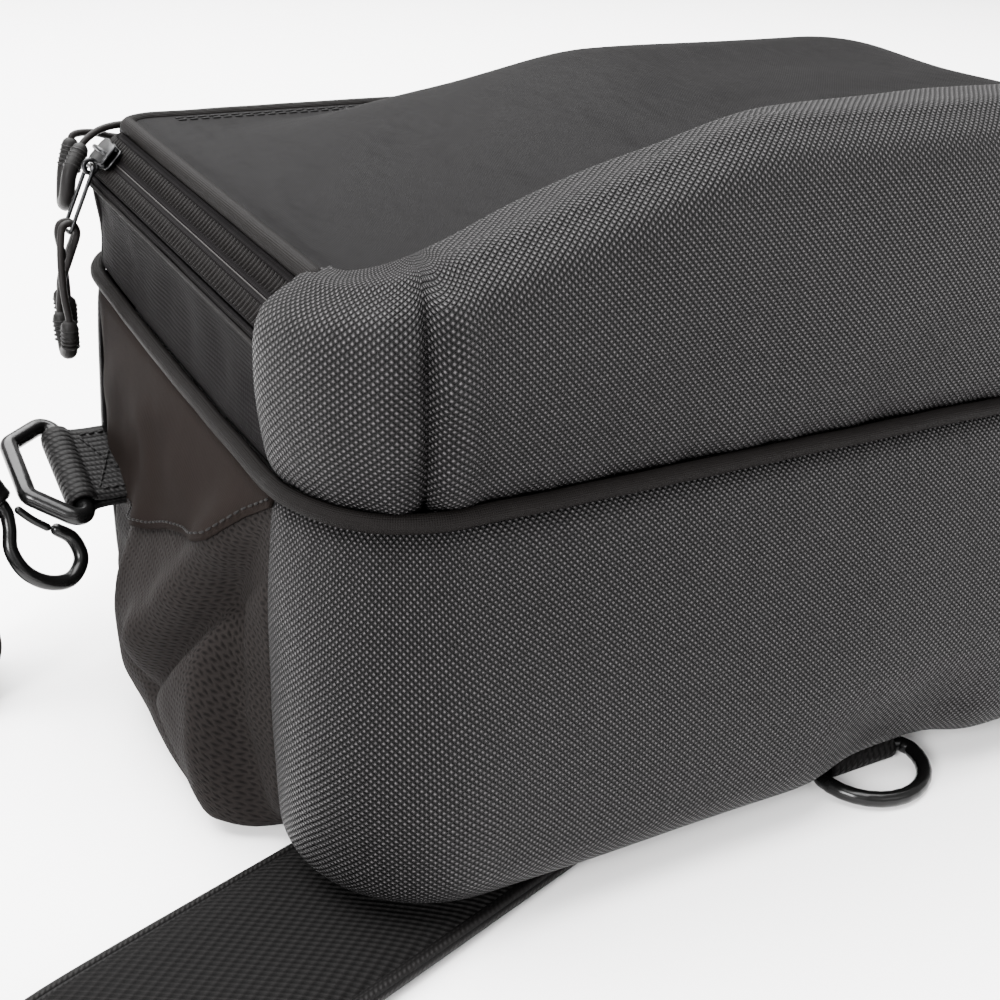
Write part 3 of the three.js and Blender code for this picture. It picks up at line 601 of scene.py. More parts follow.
# ---------------------------------------------------------------- zip-pull cords
CORD_R = 1.1
CORDS = {
    "outer": (ring_end, "pull_outer", [
        (-4.6, -8.4, -18), (-4.2, -6.4, -8), (-2.6, -3, -0.5), (-1.6, -2.1, 1.9),
        (0, -1.8, 2.5), (1.6, -1.5, 1.9), (2.5, -1, -0.5), (0.4, 0, -7), (-2.8, 1.6, -16)],
        [(-4, -8, -26.8), (-4, -7.4, -31), (-4, -3, -35.4), (-4, 1.4, -31), (-4, 2, -26.8)]),
    "inner": (ring_end, "pull_inner", [
        (-0.6, 5.6, -16), (-1.2, 4.2, -8), (-2.4, 2, -0.5), (-1.6, 1.5, 1.9),
        (0, 1.4, 2.5), (1.6, 1.5, 1.9), (2.7, 2.4, -0.5), (1.5, 7.8, -8), (0, 13.4, -16)],
        [(-0.5, 6.6, -23.8), (-0.5, 7.2, -28), (-0.5, 10.9, -32), (-0.4, 14.6, -28), (-0.4, 15.2, -23.8)]),
    "top": (top_pivot, "pull_top", [
        (-11, -5.6, 2), (-5, -4.6, 3), (-1.3, -2.5, 2.3), (0, 0, 0),
        (-1.3, 2.4, -2.1), (-5.4, 3.9, -1.8), (-11.5, 2.4, 0)],
        [(-18.2, -8.7, -3.2), (-22.6, -12, -9), (-24, -11, -17), (-23.4, -5.6, -18.5), (-21.6, -0.6, -11),
         (-18.8, 0.1, -3)]),
}


def zip_pull(name):
    origin, body, over_bar, grip_stops = CORDS[name]
    grip_stops = np.array(grip_stops, float) + origin
    ends = []
    for end, inside in ((0, 1), (-1, -2)):
        out = unit(grip_stops[end] - grip_stops[inside])
        ends.append([grip_stops[end] + out * 0.5, grip_stops[end] + out * 3])
    stops = [*ends[0], *(np.array(over_bar) + origin), *reversed(ends[1])]
    path = spline(stops, 72)
    cord = tube(f"pull_cord_{name}_sheath", path, CORD_R, "cord", body, 12, stands_for=[f"pull_cord_{name}"],
                round_ends=False)
    middle = spline(grip_stops, 40)
    swell = 2.2 + 0.35 * np.cos(np.linspace(0, 2 * math.pi, 40)) ** 2
    grip = tube(f"pull_grip_{name}_moulding", middle, swell, "grip", body, 14,
                stands_for=[f"pull_grip_{name}"])
    ribs = []
    for end in (0, -1):
        inward = unit(grip_stops[1 if end == 0 else -2] - grip_stops[end])
        for k in range(5):
            centre = grip_stops[end] + inward * (0.6 + 1.35 * k)
            side = unit(np.cross(inward, (0.3, 0.9, 0.1)))
            up = np.cross(inward, side)
            angles = np.arange(16) * math.pi / 8
            ribs.append(centre + 2.42 * (np.cos(angles)[:, None] * side + np.sin(angles)[:, None] * up))
    for k, ring in enumerate(ribs):
        tube(f"pull_grip_{name}_rib_{k}", ring, 0.36, "grip", body, 6, closed=True)
    row(path[0]).tolist()
    row(path).tolist()
    return cord, grip


for pull_name in CORDS:
    zip_pull(pull_name)

# ---------------------------------------------------------------- the bag's outline and surfaces
HALF_X, HALF_Y = 165.0, 100.0
BASE_CORNER, TOP_CORNER = 34.0, 23.0
SIDE_BASE, SIDE_TOP = -HALF_Y + BASE_CORNER, HALF_Y - TOP_CORNER
BACK_Z, EDGE_ROUND, BASE_BULGE = 8.0, 14.0, 12.0
RIM_Z, EDGE_Z, CROWN, CROWN_RUN, TOP_RUN = 144.0, 159.0, 31.0, 97.0, 90.0
RISE, RISE_START, RISE_RUN = 10.0, -66, 143
# A panel's edge lies this far from the seam's line.
SEAM_GAP = 1.2
INSET = 15.5


def seam_z(y):
    t = np.asarray(y, float) + HALF_Y
    return 109.2 + 0.02 * t + 0.00034 * t * t


def rise(y):
    return RISE * np.clip((np.asarray(y, float) - RISE_START) / RISE_RUN, 0.0, 1.0)


def swell(t):
    """Rises evenly from 0 and rounds off into 1."""
    t = np.clip(t, 0.0, 1.15)
    return np.where(t < 0.85, t, 1 - (1.15 - t) ** 2 / 0.6)


def front_z(x, y, wrinkled=True):
    from_side = HALF_X - INSET - np.abs(x)
    from_top = HALF_Y - INSET - np.asarray(y, float)
    crown = swell(from_side / CROWN_RUN) * smooth(from_top / TOP_RUN)
    z = EDGE_Z + rise(y) + CROWN * crown
    if wrinkled:
        inside = smooth(from_side / 30) * smooth(from_top / 22)
        run = x * 0.62 + y * 0.78
        across = -x * 0.78 + y * 0.62
        folds = 0.9 * np.sin(across / 11.0 + 1.3 * np.sin(run / 47.0)) * np.exp(-((x + 70) / 60) ** 2)
        folds += 0.7 * np.sin(across / 7.0 + 0.7) * np.exp(-((x + 105) / 28) ** 2 - ((y + 40) / 40) ** 2)
        folds += 0.6 * np.sin(y / 13.0 + x / 60.0)
        z = z + folds * inside * 0.9
    return z


CORNER_RUN = BASE_CORNER * math.pi / 2
STRAIGHT = 2 * (HALF_X - BASE_CORNER)
BASE_RUN = 2 * CORNER_RUN + STRAIGHT


def on_corner(x, y, radius, a):
    """Place and outward direction at angle a on a corner about (x, y)."""
    return (x + radius * math.cos(a), y + radius * math.sin(a), math.cos(a), math.sin(a))


def base_station(s):
    """Place and outward direction at distance s along the base, from the left side to the right."""
    if s < 0:
        return (-HALF_X, SIDE_BASE - s, -1.0, 0.0)
    if s > BASE_RUN:
        return (HALF_X, SIDE_BASE + (s - BASE_RUN), 1.0, 0.0)
    if s < CORNER_RUN:
        return on_corner(-HALF_X + BASE_CORNER, SIDE_BASE, BASE_CORNER, math.pi + s / BASE_CORNER)
    if s > BASE_RUN - CORNER_RUN:
        a = 1.5 * math.pi + (s - BASE_RUN + CORNER_RUN) / BASE_CORNER
        return on_corner(HALF_X - BASE_CORNER, SIDE_BASE, BASE_CORNER, a)
    return (-HALF_X + BASE_CORNER + s - CORNER_RUN, -HALF_Y, 0.0, -1.0)


def top_stations(step=3.0):
    """Stations round the top, from the right side to the left."""
    corner_x = HALF_X - TOP_CORNER
    turns = int(TOP_CORNER * math.pi / 2 / step) + 2
    out = [on_corner(corner_x, SIDE_TOP, TOP_CORNER, a) for a in np.linspace(0, math.pi / 2, turns)]
    for x in np.linspace(corner_x, -corner_x, int(2 * corner_x / step))[1:-1]:
        out.append((x, HALF_Y, 0.0, 1.0))
    for a in np.linspace(math.pi / 2, math.pi, turns):
        out.append(on_corner(-corner_x, SIDE_TOP, TOP_CORNER, a))
    return out


def side_stations(side, start=SIDE_BASE, end=SIDE_TOP, step=3.0):
    ys = np.linspace(start, end, int(abs(end - start) / step) + 1)
    return [(side * HALF_X, y, float(side), 0.0) for y in ys]


def at(station, d, z):
    x, y, nx, ny = station
    return np.array([x + nx * d, y + ny * d, z])


DART = 42.9
DARTS = (DART, BASE_RUN - DART)


def base_positions():
    """Distances along the base: close together at the darts, where the fabric is creased."""
    s, out = -1.5, []
    while s < BASE_RUN + 1.5:
        out.append(s)
        near = min(abs(s - d) for d in DARTS)
        s += 0.45 if near < 4 else 0.9 if near < 9 else 2.2
    return out + [BASE_RUN + 1.5]


def dart_depth(s, z):
    near = min(abs(s - d) for d in DARTS)
    fade = float(smooth((166 - z) / 10))
    crease = 3.6 * math.exp(-(near / 1.15) ** 1.3)
    puff = 1.6 * math.exp(-((near - 7) / 4.5) ** 2)
    ripple = 0.7 * math.exp(-((near - 4) / 3) ** 2) * math.sin(z / 3.2 + (2.0 if s > DART else 0.0))
    return (-crease + puff + ripple) * fade


def seam_roll(distance):
    """How far fabric turns in where it is sewn to piping, distance mm from the seam."""
    return -2.4 * math.exp(-(distance / 2.2) ** 1.5)


def seam_pucker(s, distance, strength=1.0):
    wave = noise.noise(Vector((s / 6.5, strength * 3.1, 0)))
    return 1.1 * strength * wave * math.exp(-distance / 11)


# ---------------------------------------------------------------- lower walls
def lower_profile(station, s, bulge, dents=None):
    """A wall below the main piping, from its seam down and round onto the back."""
    steps_wall, steps_round, inward = 34, 16, 6.0
    top = float(seam_z(station[1])) - SEAM_GAP
    foot = BACK_Z + EDGE_ROUND
    stand = BASE_BULGE * max(0.0, -station[3])
    profile = []
    for k in range(steps_wall + 1):
        t = (k / steps_wall) ** 1.25
        profile.append((stand * float(smooth(t * 1.05)), top + (foot - top) * t, 1.0, 0.0))
    for k in range(1, steps_round + 1):
        a = math.pi / 2 * k / steps_round
        profile.append((stand - EDGE_ROUND + EDGE_ROUND * math.cos(a), foot - EDGE_ROUND * math.sin(a),
                        math.cos(a), -math.sin(a)))
    profile.append((-EDGE_ROUND - inward, BACK_Z, 0.0, -1.0))
    length = (top - foot) + EDGE_ROUND * math.pi / 2
    points = []
    for d, z, nd, nz in profile:
        if nz == 0.0:
            done = top - z
        else:
            done = (top - foot) + EDGE_ROUND * math.atan2(-nz, max(nd, 0.0))
        out = bulge * math.sin(math.pi * min(1.0, done / length)) ** 0.75 + seam_roll(done)
        out += seam_pucker(s, done)
        sway = noise.noise(Vector((s / 55, z / 38, 4.2)))
        out += 1.5 * sway * math.sin(math.pi * min(1.0, done / length))
        if dents:
            out += dents(s, z)
        if nd <= 0.0:
            out = 0.0
        points.append(at(station, d + nd * out, z + nz * out))
    return points


def ring_hollow(s, z):
    """The fabric lies flatter behind the accessory ring, which swings up against it."""
    return -4.4 * math.exp(-((s - BASE_RUN / 2) / 25) ** 4) * float(smooth((44 - z) / 22))


def base_lower():
    rows = []
    for s in np.arange(0, BASE_RUN + 0.1, BASE_RUN / 168):
        station = base_station(float(s))
        middle = math.sin(math.pi * min(1, max(0, s / BASE_RUN)))
        rows.append(lower_profile(station, float(s), 3.2 + 2.6 * middle, dents=ring_hollow))
    return skin("base_lower_skin", rows, "emboss", "root", 1.4, ["base_lower_panel"])


base_lower()


def top_lower():
    rows = [lower_profile(st, 500 + 3.0 * k, 3.0) for k, st in enumerate(top_stations())]
    return skin("top_lower_skin", rows, "nylon", "root", 1.4, ["top_lower_wall"])


top_lower()

# ---------------------------------------------------------------- base above the piping
def front_reach(s):
    """How far the embossed panel runs in over the front, with a wavy edge."""
    corner = min(s, BASE_RUN - s) / CORNER_RUN
    reach = REACH_SIDE + (REACH_BASE - REACH_SIDE) * float(smooth(corner))
    x = s - BASE_RUN / 2
    wave = 1.6 * math.sin(x / 21.0 + 0.6) + 0.9 * math.sin(x / 9.5)
    return reach + wave * float(smooth((corner - 0.6) / 0.8))


REACH_SIDE, REACH_BASE = 16.5, 23.0
WRAP_ROUND = 14.0


def base_upper_profile(s):
    station = base_station(s)
    y = station[1]
    bottom = float(seam_z(y)) + SEAM_GAP
    inner = at(station, -WRAP_ROUND, 0)
    turn_z = float(front_z(inner[0], max(inner[1], -99.0), False)) - WRAP_ROUND
    if s < 0 or s > BASE_RUN:
        turn_z = EDGE_Z - WRAP_ROUND
    reach = front_reach(min(max(s, 0.0), BASE_RUN))
    profile = []
    wall = 22
    for k in range(wall + 1):
        profile.append((0.0, bottom + (turn_z - bottom) * k / wall, 1.0, 0.0))
    for k in range(1, 13):
        a = math.pi / 2 * k / 12
        profile.append((-WRAP_ROUND + WRAP_ROUND * math.cos(a), turn_z + WRAP_ROUND * math.sin(a),
                        math.cos(a), math.sin(a)))
    over = 7
    for k in range(1, over + 1):
        d = -WRAP_ROUND - (reach - WRAP_ROUND) * k / over
        p = at(station, d, 0)
        profile.append((d, float(front_z(p[0], p[1])), 0.0, 1.0))
    points = []
    span = turn_z - bottom
    for d, z, nd, nz in profile:
        rise_done = z - bottom
        out = 2.6 * math.sin(math.pi * min(1.0, rise_done / (span + 20))) ** 0.8
        out += seam_roll(rise_done) + seam_pucker(s + 300, rise_done, 0.9)
        out += 1.2 * noise.noise(Vector((s / 42, z / 30, 9.1)))
        if nz < 0.999:
            out += dart_depth(s, z)
        out *= 1.0 if nz < 0.5 else max(0.0, 1 - (nz - 0.5) * 2)
        points.append(at(station, d + nd * out, z + nz * out + (0.7 if nz > 0.9 else 0.0)))
    return points


upper_rows = [base_upper_profile(s) for s in base_positions()]
skin("base_upper_skin", upper_rows, "emboss", "root", 1.0, ["base_upper_panel", "front_apron"])

# ---------------------------------------------------------------- front flap
def flap_near(x):
    """Where the smooth fabric meets the embossed panel, for a distance along the base."""
    straight = HALF_X - BASE_CORNER
    if abs(x) <= straight:
        s = x + BASE_RUN / 2
        return -HALF_Y + front_reach(s)
    best = None
    for a in np.linspace(0, math.pi / 2, 60):
        s = a * BASE_CORNER
        r = BASE_CORNER - front_reach(s)
        px = straight + r * math.cos(a)
        if best is None or abs(px - abs(x)) < best[0]:
            best = (abs(px - abs(x)), SIDE_BASE - r * math.sin(a))
    return best[1]


FLAP_CORNER = 9.0


def flap_far(x):
    """The flap's far edge, for a place across the bag."""
    into = max(0.0, abs(x) - (HALF_X - INSET - FLAP_CORNER))
    return HALF_Y - INSET - FLAP_CORNER + math.sqrt(max(0.0, FLAP_CORNER ** 2 - into ** 2))


def flap_skin():
    edge = HALF_X - INSET + 3.0
    flat = edge - FLAP_CORNER
    turn = FLAP_CORNER * (1 - np.cos(np.linspace(0, math.pi / 2, 8)))
    xs = np.concatenate([-edge + turn, np.linspace(-flat, flat, 100)[1:-1], edge - turn[::-1]])
    rows = []
    for x in xs:
        near = flap_near(x) - 3.5
        far = flap_far(x * (HALF_X - INSET) / edge) + 3.0
        ys = np.linspace(near, far, 64)
        edge_drop = 1.8 * np.exp(-((edge - abs(x)) / 1.6)) + 1.8 * np.exp(-((far - ys) / 1.6))
        tuck = 0.9 * np.exp(-((ys - near) / 2.5) ** 2)
        zs = front_z(np.full_like(ys, x), ys) - edge_drop - tuck
        rows.append([(x, y, z) for y, z in zip(ys, zs)])
    piece = skin("flap_skin", rows, "nylon", None, 1.6, ["flap_panel"])
    row((0, -77, 190)).tolist()
    row((0, -50, 190)).tolist()
    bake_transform(piece)


flap_skin()
for k, back_by in enumerate((6.0, 9.2)):
    xs = np.linspace(-138, 138, 400)
    ys = np.array([flap_far(x) - back_by for x in xs])
    line = np.stack([xs, ys, front_z(xs, ys) + 0.15], 1)
    stitches(f"flap_far_stitches_{k}", line, "thread", "flap", 2.4, 1.1, 0.34)

# ---------------------------------------------------------------- side and top walls above the piping
def gusset_rows(stations, offset):
    rows = []
    for k, st in enumerate(stations):
        bottom = float(seam_z(st[1])) + SEAM_GAP
        top = RIM_Z + float(rise(st[1]))
        column = []
        for t in np.linspace(0, 1, 13):
            z = bottom + (top - bottom) * t
            out = seam_roll(z - bottom) - 1.6 * math.sin(math.pi * t)
            out += 1.3 * noise.noise(Vector((k / 5 + offset, t * 2.2, 3.3))) * math.sin(math.pi * t)
            column.append(at(st, out, z))
        rows.append(column)
    return rows


for label, stations, offset in (("left", side_stations(-1), 10.0), ("right", side_stations(1), 50.0),
                                ("top", top_stations(), 90.0)):
    skin(f"{label}_gusset_skin", gusset_rows(stations, offset), "woven", "root", 1.4, [f"{label}_gusset"])

zip_run = side_stations(1, SIDE_BASE + 1, SIDE_TOP, 1.4) + top_stations(1.4)[1:-1]
zip_run += side_stations(-1, SIDE_TOP, SIDE_BASE + 1, 1.4)
SLOPE = math.sqrt(0.5)


def on_zip(st, across, out=0.0):
    """A point on the zip's slope: across from the rim side, out of the slope."""
    z = RIM_Z + 1.2 + float(rise(st[1]))
    return at(st, -0.2 - across * SLOPE + out * SLOPE, z + across * SLOPE + out * SLOPE)


ZIP_WIDE = 13.2
ZIP_MIDDLE = ZIP_WIDE / 2


def zip_tape(name, start, end, body, stands_for):
    rows = []
    for st in zip_run:
        column = []
        for t in np.linspace(0, 1, 9):
            a = start + (end - start) * t
            crown = 0.45 * math.sin(math.pi * a / ZIP_WIDE)
            column.append(on_zip(st, a, crown))
        rows.append(column)
    return skin(name, rows, "woven", body, 0.7, stands_for)


zip_tape("zip_tape_lower", 0.1, ZIP_MIDDLE - 0.15, "root", ["zip_tape_body"])
zip_tape("zip_tape_upper", ZIP_MIDDLE + 0.15, ZIP_WIDE + 2.6, "flap", ["zip_tape_flap"])


def coil(name, start, end, lean, body):
    """The zip's coil ribs: short curved bars side by side along the tape's edge."""
    line = np.array([on_zip(st, 0, 0) for st in zip_run])
    along = np.concatenate([[0], np.cumsum(np.linalg.norm(np.diff(line, axis=0), axis=1))])
    pitch = 2.1
    vertices, faces = [], []
    stations = np.array(zip_run)
    for s in np.arange(pitch, along[-1] - pitch, pitch):
        base = len(vertices)
        for t in np.linspace(0, 1, 7):
            a = start + (end - start) * t
            shift = lean * math.sin(math.pi * t)
            st = [np.interp(s + shift, along, stations[:, c]) for c in range(4)]
            ahead = [np.interp(s + shift + 0.5, along, stations[:, c]) for c in range(4)]
            raised = 0.25 + 0.35 * math.sin(math.pi * t)
            p = on_zip(st, a, raised)
            run_to = unit(on_zip(ahead, a, raised) - p)
            out = unit(np.array([st[2], st[3], 1.0]))
            r = 0.8 * (0.5 + 0.5 * math.sin(math.pi * (0.12 + 0.76 * t)))
            vertices += six_round(p, r, run_to, out)
        faces += bar_faces(base, 7)
    piece = make(name, vertices, faces, "piping", body)
    fix_normals(piece)
    return piece


coil("zip_coil_lower", 0.6, 5.0, 1.5, "root")
coil("zip_coil_upper", ZIP_WIDE - 4.8, ZIP_WIDE - 0.4, 1.5, "flap")
meet = [on_zip(st, ZIP_MIDDLE, 0.35) for st in zip_run]
tube("zip_meeting_cord", even(np.array(meet), 500), 0.22, "bright_thread", "root", 6)
hem = [at(st, 0.1, RIM_Z - 2.6 + float(rise(st[1]))) for st in zip_run]
tube("zip_hem_edge", even(np.array(hem), 500), 0.55, "piping", "root", 8)

# ---------------------------------------------------------------- pipings
def main_loop(step=2.5):
    stations = [base_station(float(s)) for s in np.arange(0, BASE_RUN, step)]
    stations += side_stations(1, step=step)[1:] + top_stations(step)[1:]
    stations += side_stations(-1, SIDE_TOP, SIDE_BASE, step)[1:-1]
    return stations


def piping_wobble(points, size, tag):
    out = []
    for k, p in enumerate(points):
        out.append(p + np.array([0, 0, size * noise.noise(Vector((k / 9.0, tag, 0)))]))
    return np.array(out)


main_line = piping_wobble([at(st, 0.1, float(seam_z(st[1]))) for st in main_loop()], 0.5, 1.0)
tube("main_piping_cord", main_line, 2.35, "piping", "root", 14, closed=True, stands_for=["main_piping"])
flap_line = [at(st, -12.6, EDGE_Z - 1.4 + float(rise(st[1]))) for st in zip_run]
flap_line = piping_wobble(even(np.array(flap_line), 320), 0.4, 5.0)
tube("flap_piping_cord", flap_line, 2.5, "piping", "flap", 14, stands_for=["flap_piping"])

# ---------------------------------------------------------------- sides below the piping
def line_distance(y, z, a, b):
    """Signed distance from the line a to b, and how far along it the point is, from 0 to 1."""
    ay, az = a
    dy, dz = b[0] - ay, b[1] - az
    length = math.hypot(dy, dz)
    along = ((y - ay) * dy + (z - az) * dz) / length ** 2
    off = ((y - ay) * dz - (z - az) * dy) / length
    return off, along


# The pocket's creases: both ends as (y, z), how soon each starts, how much of it fades, from where and over
# how long, and its ridges and dips as (height, offset, width).
CREASES = (
    ((-62, 104), (2, 30), 0.2, 1.0, 0.8, 0.35, ((6.0, -7, 8), (-7.0, 6, 4.2))),
    ((-42, 78), (-51, 12), 0.3, 0.5, 0.9, 0.3, ((-6.5, 0, 4.6),)),
    ((20, 34), (-30, 10), 0.3, 1.0, 0.7, 0.4, ((-2.2, 0, 4.0),)),
)


def pocket_out(y, z):
    """How far the side stands out of the plane at the bag's side."""
    span = float(smooth((y + 60) / 22) * (1 - 0.85 * smooth((y - 24) / 26)))
    height = math.exp(-((z - 34) / 34) ** 2) if z > 34 else 1 - 0.18 * ((34 - z) / 26) ** 2
    out = 16.0 * span * height + 2.0
    for start, end, ease, faded, fade_from, fade_run, ridges in CREASES:
        off, along = line_distance(y, z, start, end)
        kept = 1 - faded * smooth((along - fade_from) / fade_run)
        inside = float(smooth((along + 0.05) / ease) * kept)
        for rise_by, offset, wide in ridges:
            out += rise_by * math.exp(-((off - offset) / wide) ** 2) * inside
    out += 1.3 * noise.noise(Vector((y / 17, z / 14, 7.7)))
    return max(out, 0.3)


HEM = ((-66, 105), (-54, 98), (-42, 88), (-20, 79), (0, 73), (14, 67), (35, 61), (60, 58), (78, 57))


def hem_z(y):
    return float(np.interp(y, [p[0] for p in HEM], [p[1] for p in HEM]))


def pocket_sag(y):
    return float(smooth((y + 62) / 14) * (1 - smooth((y - 4) / 44)))


def side_columns(side, lower, extra, rows_y, steps, under=False):
    """Columns down one side from its seam. With under they carry on below the bag's back."""
    foot = BACK_Z + EDGE_ROUND
    columns = []
    for y in rows_y:
        column = []
        low, top_seam = lower(y), float(seam_z(y)) - SEAM_GAP
        edge = min(1.0, (y - SIDE_BASE) / 7.0) * min(1.0, (SIDE_TOP - y) / 7.0)
        edge = float(smooth(edge + 0.05))
        for t in np.linspace(0, 1, steps):
            z = top_seam + (low - top_seam) * t
            near_seam = top_seam - z
            out = pocket_out(y, z) * edge * float(smooth(near_seam / 26)) + seam_roll(near_seam)
            if z < foot:
                hang = pocket_sag(y)
                turn = 1 - math.cos(math.asin(min(1.0, (foot - z) / (foot - low))))
                inset = EDGE_ROUND * turn * (1 - hang) + 3.5 * hang * turn ** 2
                out = -inset + out * (1 - 0.55 * turn * (1 - hang))
            column.append((side * (HALF_X + out + extra), y, z))
        if under:
            last_x, _, last_z = column[-1]
            inner = side * (HALF_X - EDGE_ROUND - 4)
            for t in np.linspace(0, 1, 7)[1:]:
                z = last_z + (BACK_Z + 0.2 - last_z) * t ** 1.5
                column.append((last_x + (inner - last_x) * t, y, z))
        columns.append(column)
    return columns


def pocket_foot(y):
    """The pocket sags below the bag's back, nearly to the floor."""
    return BACK_Z + 0.2 - 4.8 * pocket_sag(y)


def side_panels(side, label):
    ys = np.linspace(SIDE_BASE, SIDE_TOP, 74)
    knit = side_columns(side, pocket_foot, 0.0, ys, 60, True)
    skin(f"{label}_side_knit", knit, "knit", "root", 1.2, [f"{label}_side_wall", f"{label}_pocket"])
    ys = np.linspace(SIDE_BASE + 0.4, SIDE_TOP, 74)
    smooth_panel = side_columns(side, hem_z, 1.3, ys, 26)
    skin(f"{label}_side_stretch", smooth_panel, "stretch", "root", 1.2)
    hem_line = [(x + side * 0.1, y, z + 2.2) for x, y, z in (column[-1] for column in smooth_panel)]
    stitches(f"{label}_hem_stitches", hem_line, "thread", "root", 2.0, 1.0, 0.32)


side_panels(-1, "left")
side_panels(1, "right")

# ---------------------------------------------------------------- back of the bag
def back_panel():
    inset = EDGE_ROUND + 3
    xs = np.linspace(-HALF_X + inset, HALF_X - inset, 60)
    rows = []
    for x in xs:
        column = []
        for y in np.linspace(-HALF_Y + inset, HALF_Y - inset, 36):
            quilting = 0.8 * abs(math.sin(math.pi * x / 47)) * abs(math.sin(math.pi * (y + 100) / 50))
            column.append((x, y, BACK_Z + 0.9 - quilting))
        rows.append(column)
    return skin("back_skin", rows, "nylon", "root", 2.0, ["back_panel"])


back_panel()


def soft_outline(half_width, half_depth, count):
    """Points round a rectangle with softly rounded corners."""
    power = 0.16
    outline = []
    for k in range(count):
        a = 2 * math.pi * k / count
        c, s = math.cos(a), math.sin(a)
        x, y = math.copysign(abs(c) ** power, c), math.copysign(abs(s) ** power, s)
        outline.append((x * half_width, y * half_depth))
    return outline


def padded_block(name, width, depth, low, high, place, look, tilt=0.0, stands_for=()):
    """A flat cushion lying in XY: rounded outline, crowned faces and a pinched edge."""
    around = 96
    outline = soft_outline(width / 2, depth / 2, around)
    outline = even(np.array([*outline, outline[0]]), around + 1)[:-1]
    middle, thick = (low + high) / 2, (high - low) / 2
    shrink = [0.12, 0.35, 0.62, 0.82, 0.93, 0.98, 1.0]
    rings = []
    for face, sizes in ((1, shrink), (-1, shrink[-2::-1])):
        for q in sizes:
            z = middle + face * thick * (1 - q ** 5) ** 0.5 * (1 - 0.12 * (1 - (1 - q) ** 2))
            rings.append([(x * q, y * q, z) for x, y in outline])
    c, s = math.cos(tilt), math.sin(tilt)
    grid = np.array(rings)
    turned = grid.copy()
    turned[..., 0] = grid[..., 0] * c - grid[..., 1] * s + place[0]
    turned[..., 1] = grid[..., 0] * s + grid[..., 1] * c + place[1]
    faces = grid_faces(len(turned), around, False, True) + end_caps(len(turned), around)
    flat = grid.reshape(-1, 3)
    uvs = [(flat[v][0], flat[v][1]) for f in faces for v in f]
    piece = make(name, turned.reshape(-1, 3), faces, look, "root", uvs, stands_for)
    fix_normals(piece)
    return piece


pad = padded_block("back_pad_cushion", 250, 52, 0, 7.7, (0, 60), "mesh", stands_for=["back_pad"])

# ---------------------------------------------------------------- shoulder strap
WEB, WEB_THICK = 36.0, 1.8
HOOK_ALONG = unit((0.48, -0.3, -0.824))
HOOK_B = np.array([0.74, 0.46, 0.49])
HOOK_B = unit(HOOK_B - HOOK_ALONG * HOOK_B.dot(HOOK_ALONG))
HOOK_C = np.cross(HOOK_ALONG, HOOK_B)
HOOK_START = np.array([41.5, 54.0, 65.0])


def at_hook(side, a, b, c=0.0):
    p = HOOK_ALONG * a + HOOK_B * b + HOOK_C * c
    return np.array([side * (HALF_X + HOOK_START[0] - p[0]), HOOK_START[1] + p[1], HOOK_START[2] + p[2]])


def eye_axis(side):
    axis = np.array([0.0, 1.0, 0.0])
    axis = unit(axis - HOOK_ALONG * axis.dot(HOOK_ALONG))
    return np.array([-side * axis[0], axis[1], axis[2]])


def at_eye(side, a, n):
    out = unit(np.cross(HOOK_ALONG, (0, 1, 0))) * n
    p = at_hook(side, a, 0)
    return np.array([p[0] - side * out[0], p[1] + out[1], p[2] + out[2]])


EYE_TURN = ((-21, 3.4), (-27, 3.8), (-31, 0), (-27, -3.8), (-21, -4.2), (-14, -6))
STRAP_START = np.array([-240.0, -117.0])
STRAP_ANGLE = math.atan(0.326)
STRAP_DIR = np.array([math.cos(STRAP_ANGLE), math.sin(STRAP_ANGLE), 0.0])
STRAP_ACROSS = np.array([-STRAP_DIR[1], STRAP_DIR[0], 0.0])
STRAP_LENGTH, STRAP_PAD_WIDE = 263.0, 55.6


def strap_at(along, z):
    p = STRAP_START + STRAP_DIR[:2] * along
    return (p[0], p[1], z)


UP_BAG, ON_EDGE = (0, 1, 0), (0, 0, 1)
ADJ_X, ADJ_Z = -304.0, 20.9
left_stops = [(at_eye(-1, a, n), eye_axis(-1)) for a, n in EYE_TURN] + [
    ((-220, 66, 50), UP_BAG), ((-215, 67, 35), UP_BAG), ((-213, 67, 20), UP_BAG), ((-220, 66, 8), UP_BAG),
    ((-236, 64, 2.6), UP_BAG), ((-250, 62, 4.6), (0, 1, 0.15)), ((-268, 58, 13), (0, 0.8, 0.6)),
    ((-284, 50, 19.4), (0, 0.35, 0.94)), ((-297, 36, 21.2), (0, 0.06, 1)), ((-303.4, 18, ADJ_Z), ON_EDGE),
    ((ADJ_X, 0, ADJ_Z), ON_EDGE), ((ADJ_X, -20, ADJ_Z), ON_EDGE), ((ADJ_X, -46, ADJ_Z), ON_EDGE),
    ((ADJ_X, -72, ADJ_Z), ON_EDGE), ((-299.5, -96, 20.9), ON_EDGE), ((-288, -117, 20.4), (-0.12, 0.15, 1)),
    ((-272, -126, 17.4), (-0.25, 0.6, 0.75)), ((-257, -124, 9.5), (-0.31, 0.9, 0.32)),
    (strap_at(-6, 4.6), STRAP_ACROSS), (strap_at(3, 3.9), STRAP_ACROSS)]
right_stops = [(at_eye(1, a, n), eye_axis(1)) for a, n in EYE_TURN] + [
    ((226, 62, 54), UP_BAG), ((231, 58, 40), UP_BAG), ((236, 54, 22), UP_BAG), ((231, 46, 8), (-0.15, 1, 0)),
    (strap_at(466, 3), STRAP_ACROSS), (strap_at(440, 3.4), STRAP_ACROSS), (strap_at(350, 3.85), STRAP_ACROSS),
    (strap_at(STRAP_LENGTH - 3, 3.9), STRAP_ACROSS)]
for label, stops, count in (("left", left_stops, 230), ("right", right_stops, 160)):
    ribbon(f"strap_web_{label}_weave", stops, WEB, WEB_THICK, "webbing", "root", count,
           [f"strap_web_{label}"])

